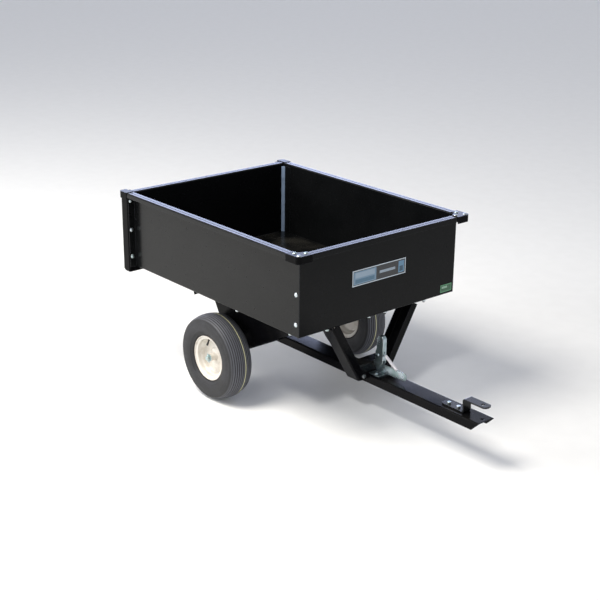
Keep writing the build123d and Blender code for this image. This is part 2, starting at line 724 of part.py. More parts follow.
def latch_spring():
    """Outer shape of the tension spring and its two hooks."""
    (x0, z0), (x1, z1) = SPRING_TOP, SPRING_END
    length = math.hypot(x1 - x0, z1 - z0)
    axis = Plane(origin=(x0, 0, z0), z_dir=(x1 - x0, 0, z1 - z0))
    body = extrude(axis * Circle(SPRING_R), amount=length)
    upper = wire_rod([(x0 + 4, 0, z0 - 2), (LEVER_FRONT - 5, 0, LEVER_HOLE_Z)])
    side = STAND_SHEET / 2 + 2.2
    lower = wire_rod([(x1 - 4, side, z1 + 1), (SPRING_HOLE_X, side, SPRING_HOLE_Z)])
    hook = wire_rod([(SPRING_HOLE_X, side + 0.6, SPRING_HOLE_Z), (SPRING_HOLE_X, -side, SPRING_HOLE_Z)])
    return body + upper + lower + hook


def wire_rod(ends):
    """Round wire between two points."""
    start, end = Vector(*ends[0]), Vector(*ends[1])
    plane = Plane(origin=start, z_dir=end - start)
    return extrude(plane * Circle(WIRE_R), amount=(end - start).length)


def stand_bolts():
    length = STAND_SHEET + TONGUE_SHEET + NUT_H + 3
    return group([Pos(x, y, TONGUE_TOP + STAND_SHEET) * carriage_bolt(length) for x, y in STAND_BOLTS])


def stand_nuts():
    nut = FACE_DOWN * hex_nut()
    return group([Pos(x, y, TONGUE_TOP - TONGUE_SHEET) * nut for x, y in STAND_BOLTS])


# ---- fasteners of the bed ----
def side_bolts():
    """Carriage bolts through the sides into the front panel, and through the post flanges."""
    pieces = []
    for z in BOLT_HEIGHTS:
        pieces.append(Pos(BED_LENGTH - 17, -HALF, z) * FACE_RIGHT * carriage_bolt(14))
        pieces.append(Pos(SHEET, -HALF - 16, z) * FACE_FRONT * carriage_bolt(16))
    return group(both_sides(pieces))


def side_nuts():
    pieces = []
    for z in BOLT_HEIGHTS:
        inner = -HALF + 2 * SHEET + 0.2
        pieces.append(Pos(BED_LENGTH - 17, inner, z) * Rot(-90, 0, 0) * hex_nut())
        pieces.append(Pos(-POST_SHEET, -HALF - 16, z) * FACE_REAR * hex_nut(height=4))
    return group(both_sides(pieces))


def floor_bolts():
    """Low carriage bolts through the floor."""
    return group([Pos(x, y, FLOOR_TOP) * carriage_bolt(16) for x, y in floor_bolt_places()])


def floor_nuts():
    """Nuts under the flanges, supports, ribs and strut feet."""
    pieces = []
    nut = FACE_DOWN * hex_nut()
    for x, y in floor_bolt_places():
        low = 0.0
        if abs(y) == SUPPORT_Y - 22:
            low = SHEET - SUPPORT_SHEET
        if abs(y) == STRUT_FOOT_Y:
            low = -2 * SHEET
        pieces.append(Pos(x, y, low) * nut)
    return group(pieces)


def cap_bolts():
    """Carriage bolts through the caps and rims."""
    places = front_cap_bolts()
    top = BED_DEPTH + CAP_SHEET
    return group(both_sides([Pos(x, y, top) * carriage_bolt(13) for x, y in places]))


def cap_nuts():
    nut = FACE_DOWN * hex_nut(height=5)
    lows = (BED_DEPTH - SHEET, BED_DEPTH - SHEET, BED_DEPTH + 0.1)
    places = front_cap_bolts()
    return group(both_sides([Pos(x, y, low) * nut for (x, y), low in zip(places, lows)]))


def striker_bolts():
    """Bolt from the front through each strut and the saddle, with its nut behind."""
    head = Pos(STRUT_FRONT, -STRIKER_BOLT_Y, STRIKER_BOLT_Z) * FACE_FRONT * hex_bolt(16)
    return group(both_sides([head]))


def striker_nuts():
    behind = STRUT_FRONT - 2 * STRUT_SHEET - 0.2
    return group(both_sides([Pos(behind, -STRIKER_BOLT_Y, STRIKER_BOLT_Z) * FACE_REAR * hex_nut()]))


def front_label():
    """Thin plate on the front panel."""
    return block(BED_LENGTH, BED_LENGTH + 0.6, -137, 122, 132.5, 191)


def size_label():
    """Small square plate low on the front panel's left corner."""
    return block(BED_LENGTH, BED_LENGTH + 0.5, 312, 372, 10, 40)


# ---- all nodes ----
right_post = tailgate_post()
right_jamb = tailgate_jamb()
right_side = side_panel()
right_front_cap = corner_cap_front()
right_rear_cap = corner_cap_rear()
right_support = axle_support()
right_strut = strut()

nodes = {
    "bed_floor": bed_floor(),
    "side_panel_right": right_side,
    "side_panel_left": mirrored(right_side),
    "front_panel": front_panel(),
    "tailgate_post_right": right_post,
    "tailgate_post_left": mirrored(right_post),
    "tailgate_jamb_right": right_jamb,
    "tailgate_jamb_left": mirrored(right_jamb),
    "tailgate_panel": tailgate(),
    "corner_cap_front_right": right_front_cap,
    "corner_cap_front_left": mirrored(right_front_cap),
    "corner_cap_rear_right": right_rear_cap,
    "corner_cap_rear_left": mirrored(right_rear_cap),
    "floor_rib": floor_rib(),
    "axle_support_right": right_support,
    "axle_support_left": mirrored(right_support),
    "pivot_bushes": pivot_bushes(),
    "strut_right": right_strut,
    "strut_left": mirrored(right_strut),
    "latch_striker": latch_striker(),
    "striker_bolts": striker_bolts(),
    "striker_nuts": striker_nuts(),
    "side_bolts": side_bolts(),
    "side_nuts": side_nuts(),
    "floor_bolts": floor_bolts(),
    "floor_nuts": floor_nuts(),
    "cap_bolts": cap_bolts(),
    "cap_nuts": cap_nuts(),
    "front_label": front_label(),
    "size_label": size_label(),
    "tongue": tongue(),
    "hitch_strap": hitch_strap(),
    "hitch_bolts": hitch_bolts(),
    "hitch_nuts": hitch_nuts(),
    "axle": axle(),
    "inner_spacers": inner_spacers(),
    "outer_spacers": outer_spacers(),
    "hub_washers": hub_washers(),
    "cotter_pins": cotter_pins(),
    "latch_stand": latch_stand(),
    "latch_lever": latch_lever(),
    "latch_pin": latch_pin(),
    "latch_spring": latch_spring(),
    "stand_bolts": stand_bolts(),
    "stand_nuts": stand_nuts(),
}

for name, side in (("right", -1), ("left", 1)):
    place = wheel_place(side) if side < 0 else wheel_place(side) * Rot(180, 0, 0)
    nodes[f"tyre_{name}"] = place * tyre()
    nodes[f"wheel_rim_{name}"] = place * wheel_rim()
    nodes[f"hub_{name}"] = place * hub()
    nodes[f"hub_bearings_{name}"] = place * hub_bearings()
    nodes[f"tyre_valve_{name}"] = place * tyre_valve()

os.makedirs("parts", exist_ok=True)
to_origin = Pos(-MIDDLE_X, 0, -GROUND)
for name, piece in nodes.items():
    export_step(to_origin * piece, f"parts/{name}.step")
print(len(nodes), "nodes")
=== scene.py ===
import json
import math

import bmesh
import bpy
from mathutils import Matrix, Vector


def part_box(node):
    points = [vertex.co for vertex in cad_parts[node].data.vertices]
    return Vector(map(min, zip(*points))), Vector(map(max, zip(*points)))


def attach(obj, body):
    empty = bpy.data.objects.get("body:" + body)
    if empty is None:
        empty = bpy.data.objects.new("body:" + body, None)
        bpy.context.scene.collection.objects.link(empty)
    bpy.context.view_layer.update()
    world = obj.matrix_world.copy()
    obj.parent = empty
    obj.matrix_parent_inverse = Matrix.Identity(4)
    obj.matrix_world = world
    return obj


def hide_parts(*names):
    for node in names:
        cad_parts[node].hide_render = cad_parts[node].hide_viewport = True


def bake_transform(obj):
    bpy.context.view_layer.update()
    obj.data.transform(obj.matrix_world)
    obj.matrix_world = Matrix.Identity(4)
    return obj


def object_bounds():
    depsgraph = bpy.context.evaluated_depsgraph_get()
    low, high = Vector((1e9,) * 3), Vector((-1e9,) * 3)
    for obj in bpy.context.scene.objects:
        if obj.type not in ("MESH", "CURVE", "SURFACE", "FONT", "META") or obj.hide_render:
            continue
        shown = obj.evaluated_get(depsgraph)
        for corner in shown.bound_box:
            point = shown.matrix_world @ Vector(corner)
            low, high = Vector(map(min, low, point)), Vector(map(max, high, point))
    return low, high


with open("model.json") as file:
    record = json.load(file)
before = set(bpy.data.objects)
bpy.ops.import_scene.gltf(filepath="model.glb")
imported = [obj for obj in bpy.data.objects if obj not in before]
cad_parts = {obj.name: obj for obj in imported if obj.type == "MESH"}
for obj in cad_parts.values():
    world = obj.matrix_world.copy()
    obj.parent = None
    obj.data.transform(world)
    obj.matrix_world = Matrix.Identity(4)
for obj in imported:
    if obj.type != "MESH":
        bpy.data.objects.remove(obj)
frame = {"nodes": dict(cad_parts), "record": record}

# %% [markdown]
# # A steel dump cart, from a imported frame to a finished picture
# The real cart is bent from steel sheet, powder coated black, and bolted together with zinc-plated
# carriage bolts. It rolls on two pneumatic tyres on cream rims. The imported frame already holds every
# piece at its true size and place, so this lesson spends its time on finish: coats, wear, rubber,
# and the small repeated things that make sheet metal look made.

MM = 0.001
cad_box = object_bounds()
nodes = frame["nodes"]
slot_of = {part["node"]: part["material_slot"] for part in frame["record"]["subparts"]}
body_of = {
    node: body
    for body, members in frame["record"]["behaviour"]["bodies"].items()
    for node in members
}
print("CAD box", [round(v, 4) for corner in cad_box for v in corner], "nodes", len(nodes))

# %% [markdown]
# ## Building materials from nodes
# Every finish below is a small graph of nodes. Colours are written the way a paint chart gives them,
# as sRGB hex, and one function turns them into the linear light values that shaders add up.


# %% Colour and node helpers
def paint(hex_colour):
    """Linear RGBA of an sRGB hex colour."""
    channels = [int(hex_colour[i : i + 2], 16) / 255 for i in (1, 3, 5)]
    linear = [c / 12.92 if c <= 0.04045 else ((c + 0.055) / 1.055) ** 2.4 for c in channels]
    return (*linear, 1.0)


def add(tree, kind, settings=None, links=None):
    """Adds a node, sets its properties and sockets, and joins what feeds it."""
    node = tree.nodes.new(kind)
    for key, value in (settings or {}).items():
        if isinstance(key, str) and hasattr(node, key):
            setattr(node, key, value)
        else:
            node.inputs[key].default_value = value
    for key, source in (links or {}).items():
        tree.links.new(source, node.inputs[key])
    return node


def start_material(name):
    """An empty material with its shader and its output joined."""
    material = bpy.data.materials.new(name)
    material.use_nodes = True
    tree = material.node_tree
    tree.nodes.clear()
    shader = add(tree, "ShaderNodeBsdfPrincipled")
    add(tree, "ShaderNodeOutputMaterial", links={"Surface": shader.outputs["BSDF"]})
    place = add(tree, "ShaderNodeTexCoord").outputs["Object"]
    return material, tree, shader, place


def ramp(tree, source, low, high, bottom=0.0, top=1.0):
    """Maps low..high of a value smoothly to bottom..top."""
    settings = {"interpolation_type": "SMOOTHSTEP", "From Min": low, "From Max": high}
    settings.update({"To Min": bottom, "To Max": top})
    return add(tree, "ShaderNodeMapRange", settings, {"Value": source}).outputs["Result"]


def grain(tree, place, size, detail=2.0, rough=0.5):
    """Noise whose patches are about size metres across."""
    settings = {"Scale": 1 / size, "Detail": detail, "Roughness": rough}
    return add(tree, "ShaderNodeTexNoise", settings, {"Vector": place}).outputs["Fac"]


def blend_colour(tree, amount, first, second):
    """Mix of two colours; each is a hex colour or a socket."""
    node = add(tree, "ShaderNodeMix", {"data_type": "RGBA"}, {0: amount})
    for index, colour in ((6, first), (7, second)):
        if isinstance(colour, str):
            node.inputs[index].default_value = paint(colour)
        else:
            tree.links.new(colour, node.inputs[index])
    return node.outputs[2]


def times(tree, first, second):
    """Product of two values; the second may be a number."""
    node = add(tree, "ShaderNodeMath", {"operation": "MULTIPLY"}, {0: first})
    if isinstance(second, (int, float)):
        node.inputs[1].default_value = second
    else:
        tree.links.new(second, node.inputs[1])
    return node.outputs[0]


# %% [markdown]
# ## Softened edges
# Folded and sheared steel never has a razor edge, and it catches light there.
# A Bevel node rounds the normal over the last millimetre, and where that rounded normal differs from
# the flat one there is an edge. Both are used: one for the highlight, one to paint a paler highlight colour on the
# edge.


# %% Edge helpers
def soft_edge(tree, radius):
    """Rounded normal near edges, and a mask that is 1 on the edge itself."""
    rounded = add(tree, "ShaderNodeBevel", {"samples": 6, "Radius": radius}).outputs["Normal"]
    flat = add(tree, "ShaderNodeNewGeometry").outputs["Normal"]
    match = add(tree, "ShaderNodeVectorMath", {"operation": "DOT_PRODUCT"}, {0: rounded, 1: flat})
    return rounded, ramp(tree, match.outputs["Value"], 0.995, 0.86)


def upward(tree):
    """1 on faces that look up, where dust settles."""
    normal = add(tree, "ShaderNodeTexCoord").outputs["Normal"]
    height = add(tree, "ShaderNodeSeparateXYZ", links={"Vector": normal}).outputs["Z"]
    return ramp(tree, height, 0.3, 0.95)


def bump(tree, height, depth, strength, normal=None):
    links = {"Height": height}
    if normal is not None:
        links["Normal"] = normal
    settings = {"Distance": depth, "Strength": strength}
    return add(tree, "ShaderNodeBump", settings, links).outputs["Normal"]


# %% [markdown]
# ## Black powder coat
# Powder is sprayed on dry and melted in an oven. It flows into a hard skin with a faint orange peel,
# about two millimetres from crest to crest, over sheet that is itself never quite flat. So the coat
# gets two bumps: a long lazy one for the sheet and a short one for the peel. Dust lies on what looks
# up, and a paler colour along the edges is a painted highlight.
#
# The index of refraction sets how strongly a coat mirrors the studio. It is kept below that of real
# paint so that upright faces stay dark. The end panels and the running gear each get a darker, less
# mirroring copy of the coat, which paints in their shade.


# %% Coats on sheet steel
PEEL_SIZE = 0.002
SHEET_SAG = 0.0021


def powder_coat(name, colour, worn, roughness, index, peel=PEEL_SIZE):
    """Baked coat on sheet steel, with dust, scuffs and a painted highlight along the edges."""
    material, tree, shader, place = start_material(name)
    rounded, edge = soft_edge(tree, 0.0012)
    cloud = grain(tree, place, 0.11, 3.0)
    speck = grain(tree, place, 0.006, 6.0, 0.7)
    dust = times(tree, times(tree, upward(tree), ramp(tree, cloud, 0.42, 0.75)), 0.1)
    coat = blend_colour(tree, ramp(tree, cloud, 0.3, 0.7, 0.0, 0.5), colour, worn)
    # A paler colour on the edges, broken up by specks: a painted highlight.
    coat = blend_colour(tree, times(tree, edge, ramp(tree, speck, 0.35, 0.6, 0.15, 0.7)), coat, "#4C5058")
    coat = blend_colour(tree, dust, coat, "#6E6A60")
    tree.links.new(coat, shader.inputs["Base Color"])
    scuffs = ramp(tree, grain(tree, place, 0.018, 8.0, 0.75), 0.56, 0.72, 0.0, 0.14)
    dull = add(tree, "ShaderNodeMath", {"operation": "ADD", 1: roughness}, {0: scuffs})
    tree.links.new(dull.outputs[0], shader.inputs["Roughness"])
    waves = bump(tree, grain(tree, place, 0.19, 1.0), SHEET_SAG, 0.35, rounded)
    skin = bump(tree, grain(tree, place, peel, 1.0), 0.00005, 0.35, waves)
    tree.links.new(skin, shader.inputs["Normal"])
    shader.inputs["IOR"].default_value = index
    return material


finishes = {
    "black_powder_coat": powder_coat("black powder coat, baked", "#0B0C0D", "#121314", 0.24, 1.27),
    "black_trim_paint": powder_coat("black dipped trim paint", "#060607", "#0B0B0C", 0.24, 1.13, 0.0014),
}
# Darker, less mirroring copies of the same coat for the end panels and the running gear: painted shade.
panel_shade_coat = powder_coat("black powder coat, end panels, painted shade", "#090A0B", "#0E0F10", 0.24, 1.22)
gear_shade_coat = powder_coat("black powder coat, running gear, painted shade", "#08080A", "#0D0D0F", 0.2, 1.15)
print("coats", list(finishes))

# %% [markdown]
# ## Corner strips with a painted reflection
# The strips in the rear corners carry a painted reflection along their inner edge: the same coat with
# one upright band of a pale blue colour, broken up by patches. The band is measured from the strip.

# %% The corner strips, with a painted reflection
STRIP_FULL = 0.009
STRIP_GONE = 0.011


def reflection_strip_paint(material, node):
    """The same coat, with a painted pale blue reflection in one upright strip along the inner edge of the corner posts.
    """
    tree = material.node_tree
    shader = tree.nodes["Principled BSDF"]
    low, high = (Vector(corner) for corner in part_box(node))
    inner = min(abs(low.y), abs(high.y))
    place = add(tree, "ShaderNodeTexCoord").outputs["Object"]
    parts = add(tree, "ShaderNodeSeparateXYZ", links={"Vector": place})
    side = add(tree, "ShaderNodeMath", {"operation": "ABSOLUTE"}, {0: parts.outputs["Y"]}).outputs[0]
    patches = ramp(tree, grain(tree, place, 0.02, 5.0, 0.7), 0.3, 0.5, 0.65, 1.0)
    strip = times(tree, ramp(tree, side, inner + STRIP_GONE, inner + STRIP_FULL), patches)
    coat = shader.inputs["Base Color"].links[0].from_socket
    # The pale blue band is a painted reflection of the sky.
    tree.links.new(blend_colour(tree, strip, coat, "#8294AC"), shader.inputs["Base Color"])
    return material


reflection_strip_coat = reflection_strip_paint(
    powder_coat("black powder coat, painted reflection strip", "#0B0C0D", "#121314", 0.24, 1.27), "tailgate_jamb_left"
)
print("painted reflection strip on", reflection_strip_coat.name)

# %% [markdown]
# ## Zinc plate and bright wire
# The latch and the fasteners are plated. Fresh zinc is a cool metal with a blue-green passivation
# tint that drifts over a few centimetres, and a slightly grey, cloudy gloss. A paler colour along
# the edges is a painted highlight. It is a full metal, so its colour is its reflection. The latch is a bluer batch than
# the fasteners, and the spring is bright drawn wire.


# %% Plated and drawn steel
def plated(name, colour, tint, bright, roughness, cloud_size):
    """Bare or plated metal with a drifting tint and a painted highlight along the edges."""
    material, tree, shader, place = start_material(name)
    rounded, edge = soft_edge(tree, 0.0008)
    cloud = grain(tree, place, cloud_size, 4.0)
    fine = grain(tree, place, 0.0016, 3.0)
    tone = blend_colour(tree, ramp(tree, cloud, 0.38, 0.62), colour, tint)
    # A brighter colour on the edges: a painted highlight.
    tone = blend_colour(tree, edge, tone, bright)
    stain = ramp(tree, grain(tree, place, cloud_size * 0.4, 8.0, 0.7), 0.6, 0.8, 0.0, 0.25)
    tree.links.new(blend_colour(tree, stain, tone, "#6F7470"), shader.inputs["Base Color"])
    rough = ramp(tree, cloud, 0.3, 0.7, roughness, roughness + 0.14)
    tree.links.new(rough, shader.inputs["Roughness"])
    tree.links.new(bump(tree, fine, 0.00004, 0.3, rounded), shader.inputs["Normal"])
    shader.inputs["Metallic"].default_value = 1.0
    return material


finishes["zinc_plate"] = plated("zinc plate, passivated", "#CDD5DA", "#AFC3C2", "#F4F6F8", 0.26, 0.03)
finishes["spring_steel"] = plated("bright drawn spring wire", "#F4F1F4", "#E6E2E6", "#FFFFFF", 0.34, 0.006)
latch_zinc = plated("zinc plate, blue passivated", "#AEBBC4", "#8FA3A6", "#FFFFFF", 0.24, 0.03)
print("metals", [finishes[slot].name for slot in ("zinc_plate", "spring_steel")] + [latch_zinc.name])

# %% [markdown]
# ## Tyre rubber
# Carbon-black rubber is dull and very dark, with a bluish bloom where it has aged. The mould leaves
# fine concentric rings on the sidewall. One thin pale line runs round the inner half of the crown, a
# marking left by the tyre maker. Both are circles round the axle, so the graph first works out the
# distance from the axle and from the wheel's middle plane.

# %% Wheel places, read from the frame
tyre_low, tyre_high = (Vector(corner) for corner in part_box("tyre_right"))
axle_x = (tyre_low.x + tyre_high.x) / 2
axle_z = (tyre_low.z + tyre_high.z) / 2
track = abs(tyre_low.y + tyre_high.y) / 2
tyre_r = (tyre_high.z - tyre_low.z) / 2
GROOVE_PITCH = 8.4 * MM
print("axle at", round(axle_x, 4), round(axle_z, 4), "track half", round(track, 4), "radius", round(tyre_r, 4))


def wheel_coordinates(tree, place):
    """Distance from the axle, and distance inwards from the wheel's middle plane."""
    centred = add(tree, "ShaderNodeMapping", {"Location": (-axle_x, 0, -axle_z)}, {"Vector": place})
    parts = add(tree, "ShaderNodeSeparateXYZ", links={"Vector": centred.outputs[0]})
    ring = add(tree, "ShaderNodeCombineXYZ", links={"X": parts.outputs["X"], "Z": parts.outputs["Z"]})
    radius = add(tree, "ShaderNodeVectorMath", {"operation": "LENGTH"}, {0: ring.outputs[0]})
    side = add(tree, "ShaderNodeMath", {"operation": "ABSOLUTE"}, {0: parts.outputs["Y"]})
    inward = add(tree, "ShaderNodeMath", {"operation": "SUBTRACT", 0: track}, {1: side.outputs[0]})
    return radius.outputs["Value"], inward.outputs[0]


def band(tree, value, middle, half, fade):
    """1 within half of the middle, fading to 0 over fade."""
    offset = add(tree, "ShaderNodeMath", {"operation": "SUBTRACT", 1: middle}, {0: value})
    gap = add(tree, "ShaderNodeMath", {"operation": "ABSOLUTE"}, {0: offset.outputs[0]})
    return ramp(tree, gap.outputs[0], half + fade, half)


# %% Rubber
TREAD_FROM, TREAD_FULL = 0.150, 0.158
LINE_MIDDLE, LINE_HALF = 0.0126, 0.0021
RING_PITCH = 0.0021


def tyre_rubber():
    """Dull black rubber: bloom, a crown lightened by dust and a painted highlight, painted shade in the grooves, one
    pale line and moulded rings.
    """
    material, tree, shader, place = start_material("carbon black tyre rubber, moulded")
    radius, inward = wheel_coordinates(tree, place)
    bloom = grain(tree, place, 0.05, 5.0, 0.6)
    fine = grain(tree, place, 0.0035, 6.0, 0.7)
    colour = blend_colour(tree, ramp(tree, bloom, 0.35, 0.7), "#17181B", "#24252A")
    # A lighter crown: road dust and a painted highlight.
    tread_dust_and_highlight = ramp(tree, radius, TREAD_FROM, TREAD_FULL)
    colour = blend_colour(tree, times(tree, tread_dust_and_highlight, 0.6), colour, "#6A6C74")
    # Darker groove bottoms: painted shade.
    wave = add(tree, "ShaderNodeMath", {"operation": "PINGPONG", 1: GROOVE_PITCH / 2}, {0: inward})
    groove_shade = times(tree, ramp(tree, wave.outputs[0], 0.0019, 0.0011), ramp(tree, radius, 0.146, 0.15))
    colour = blend_colour(tree, times(tree, groove_shade, 0.85), colour, "#0B0B0C")
    dust = times(tree, ramp(tree, fine, 0.45, 0.75), ramp(tree, radius, 0.100, 0.085, 0.05, 0.35))
    colour = blend_colour(tree, dust, colour, "#5D5548")
    line = times(tree, band(tree, inward, LINE_MIDDLE, LINE_HALF, 0.0005), ramp(tree, radius, 0.145, 0.15))
    colour = blend_colour(tree, times(tree, line, 0.85), colour, "#CFCDA8")
    tree.links.new(colour, shader.inputs["Base Color"])
    tree.links.new(ramp(tree, fine, 0.3, 0.7, 0.5, 0.68), shader.inputs["Roughness"])
    turns = times(tree, radius, math.tau / RING_PITCH)
    rings = add(tree, "ShaderNodeMath", {"operation": "SINE"}, {0: turns})
    where = add(tree, "ShaderNodeMath", {"operation": "ADD"})
    tree.links.new(band(tree, radius, 0.100, 0.006, 0.0015), where.inputs[0])
    tree.links.new(band(tree, radius, 0.139, 0.004, 0.0015), where.inputs[1])
    ridges = bump(tree, times(tree, rings.outputs[0], where.outputs[0]), 0.00025, 0.8)
    tree.links.new(bump(tree, fine, 0.00025, 0.5, ridges), shader.inputs["Normal"])
    shader.inputs["Specular IOR Level"].default_value = 0.5
    return material


finishes["tyre_rubber"] = tyre_rubber()
print(finishes["tyre_rubber"].name)

# %% [markdown]
# ## Cream rim paint
# The pressed rims are sprayed with a warm white gloss. Road dirt collects in the well of the dish and
# round the hub, and the rolled lip that rubs on the tyre has begun to rust in a thin orange line.


# %% Rim paint
def rim_paint():
    """Cream gloss with dirt in the well and rust on the lip."""
    material, tree, shader, place = start_material("cream gloss paint on pressed steel")
    radius = wheel_coordinates(tree, place)[0]
    rounded = soft_edge(tree, 0.001)[0]
    cloud = grain(tree, place, 0.03, 5.0, 0.65)
    colour = blend_colour(tree, ramp(tree, cloud, 0.35, 0.7), "#DDD9D1", "#CBC4B8")
    dirt = times(tree, band(tree, radius, 0.064, 0.003, 0.008), ramp(tree, cloud, 0.4, 0.65, 0.02, 0.22))
    colour = blend_colour(tree, dirt, colour, "#A89F8C")
    rust = times(tree, ramp(tree, radius, 0.0862, 0.0876), ramp(tree, cloud, 0.35, 0.6, 0.35, 0.95))
    colour = blend_colour(tree, rust, colour, "#8A4A24")
    tree.links.new(colour, shader.inputs["Base Color"])
    tree.links.new(ramp(tree, cloud, 0.3, 0.7, 0.24, 0.38), shader.inputs["Roughness"])
    tree.links.new(bump(tree, grain(tree, place, 0.0022, 1.0), 0.00004, 0.3, rounded), shader.inputs["Normal"])
    shader.inputs["Coat Weight"].default_value = 0.3
    shader.inputs["Coat Roughness"].default_value = 0.1
    return material


finishes["cream_rim_paint"] = rim_paint()
print(finishes["cream_rim_paint"].name)

# %% [markdown]
# ## Small moulded parts
# The valve stem is rubber and the plain bearings are nylon. Both are black, so what tells them apart
# is how sharply they shine.


# %% Rubber and nylon
def moulded(name, colour, pale, roughness):
    """Fine-grained black plastic or rubber."""
    material, tree, shader, place = start_material(name)
    fine = grain(tree, place, 0.0012, 4.0, 0.6)
    tree.links.new(blend_colour(tree, ramp(tree, fine, 0.4, 0.7), colour, pale), shader.inputs["Base Color"])
    tree.links.new(ramp(tree, fine, 0.3, 0.7, roughness, roughness + 0.12), shader.inputs["Roughness"])
    tree.links.new(bump(tree, fine, 0.00008, 0.4), shader.inputs["Normal"])
    return material


finishes["valve_rubber"] = moulded("black valve rubber, moulded", "#0E0E0F", "#1A1A1B", 0.45)
finishes["black_nylon"] = moulded("black nylon, injection moulded", "#161618", "#202022", 0.38)
print("moulded", [finishes[slot].name for slot in ("valve_rubber", "black_nylon")])

# %% [markdown]
# ## Labels
# Printed vinyl film is glossy and flat. The prints here are plain blocks of colour with a border and
# no lettering. A block is a mask between two heights and two widths, worked out from the label's own
# box, so the print stays on its plate when the bed tips.


# %% Print blocks
def block_mask(tree, place, node, left, right, low, high, fade=0.0006):
    """1 inside a rectangle given as shares of the label's width and height."""
    near, far = (Vector(corner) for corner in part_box(node))
    size = far - near
    parts = add(tree, "ShaderNodeSeparateXYZ", links={"Vector": place})
    mask = None
    for axis, start, end in (("Y", left, right), ("Z", low, high)):
        base = near.y if axis == "Y" else near.z
        length = size.y if axis == "Y" else size.z
        middle = base + length * (start + end) / 2
        piece = band(tree, parts.outputs[axis], middle, length * (end - start) / 2 - fade, fade)
        mask = piece if mask is None else times(tree, mask, piece)
    return mask


def label_film(name, node, ground, blocks):
    """Glossy film: a ground colour and blocks printed over it in order."""
    material, tree, shader, place = start_material(name)
    colour = ground
    for paint_colour, share, left, right, low, high in blocks:
        mask = block_mask(tree, place, node, left, right, low, high)
        colour = blend_colour(tree, times(tree, mask, share), colour, paint_colour)
    dust = ramp(tree, grain(tree, place, 0.01, 6.0, 0.7), 0.55, 0.8, 0.0, 0.15)
    tree.links.new(blend_colour(tree, dust, colour, "#8C8C88"), shader.inputs["Base Color"])
    tree.links.new(ramp(tree, dust, 0.0, 0.15, 0.2, 0.4), shader.inputs["Roughness"])
    shader.inputs["Coat Weight"].default_value = 0.4
    return material


finishes["label_film"] = label_film(
    "printed vinyl film, blue and black",
    "front_label",
    "#B4BFC8",
    (
        ("#10161C", 1.0, 0.012, 0.988, 0.05, 0.95),
        ("#647F94", 1.0, 0.02, 0.44, 0.09, 0.91),
        ("#8799A8", 0.8, 0.05, 0.41, 0.5, 0.84),
        ("#3A6078", 0.9, 0.05, 0.41, 0.16, 0.42),
        ("#8C9AA6", 0.9, 0.5, 0.8, 0.42, 0.6),
        ("#527C98", 1.0, 0.86, 0.97, 0.12, 0.88),
        ("#24465A", 1.0, 0.88, 0.95, 0.2, 0.55),
    ),
)
finishes["green_label_film"] = label_film(
    "printed vinyl film, green",
    "size_label",
    "#3F8058",
    (("#1F5334", 1.0, 0.06, 0.94, 0.12, 0.88), ("#86AC92", 0.9, 0.12, 0.6, 0.5, 0.78)),
)
print("finishes", sorted(finishes))

# %% [markdown]
# ## Dressing the frame's own pieces
# Sheet metal in the frame already has its true shape, so those pieces stay and only take a finish.
# Pieces that get a finer shape further down are replaced one by one.

# %% Finish on every frame piece
special = {"tailgate_jamb_right": reflection_strip_coat, "tailgate_jamb_left": reflection_strip_coat}
special.update(dict.fromkeys(("latch_lever", "latch_stand", "latch_pin"), latch_zinc))
special.update(dict.fromkeys(("front_panel", "tailgate_panel"), panel_shade_coat))
running_gear = ["tongue", "inner_spacers", "outer_spacers"]
running_gear += [f"{part}_{side}" for part in ("strut", "axle_support") for side in ("right", "left")]
special.update(dict.fromkeys(running_gear, gear_shade_coat))
for name, piece in nodes.items():
    piece.data.materials.clear()
    piece.data.materials.append(special.get(name, finishes[slot_of[name]]))
print("dressed", len(nodes), "pieces")


# %% [markdown]
# ## Turned shapes
# A tyre and a pressed rim are both shapes turned round the axle. One helper takes the outline of the
# cut wall and turns it. Corners of an outline are rounded first, because pressed sheet has none.


# %% Outline and lathe helpers
def rounded_path(points, radius, steps=4):
    """The path with each corner replaced by a short curve."""
    path = [Vector(points[0])]
    for before, corner, after in zip(points, points[1:], points[2:]):
        corner = Vector(corner)
        back, on = Vector(before) - corner, Vector(after) - corner
        reach = min(radius, back.length * 0.45, on.length * 0.45)
        start, end = corner + back.normalized() * reach, corner + on.normalized() * reach
        for i in range(steps + 1):
            t = i / steps
            path.append(start * (1 - t) ** 2 + corner * 2 * t * (1 - t) + end * t**2)
    path.append(Vector(points[-1]))
    return path


def sheet_outline(path, thickness):
    """Closed outline of a sheet whose middle follows the path."""
    left, right = [], []
    for i, point in enumerate(path):
        along = path[min(i + 1, len(path) - 1)] - path[max(i - 1, 0)]
        across = Vector((-along.y, along.x)).normalized() * thickness / 2
        left.append(point + across)
        right.append(point - across)
    return left + right[::-1]


def finish_mesh(name, build, body, slot, angle=35, replaces=()):
    """Turns a bmesh into a piece that rides on a body, with clean outward normals."""
    bmesh.ops.remove_doubles(build, verts=build.verts, dist=1e-6)
    bmesh.ops.recalc_face_normals(build, faces=build.faces)
    mesh = bpy.data.meshes.new(name)
    build.to_mesh(mesh)
    build.free()
    mesh.shade_smooth()
    mesh.set_sharp_from_angle(angle=math.radians(angle))
    piece = bpy.data.objects.new(name, mesh)
    bpy.context.collection.objects.link(piece)
    mesh.materials.append(finishes[slot])
    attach(piece, body)
    if replaces:
        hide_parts(*replaces)
    return piece


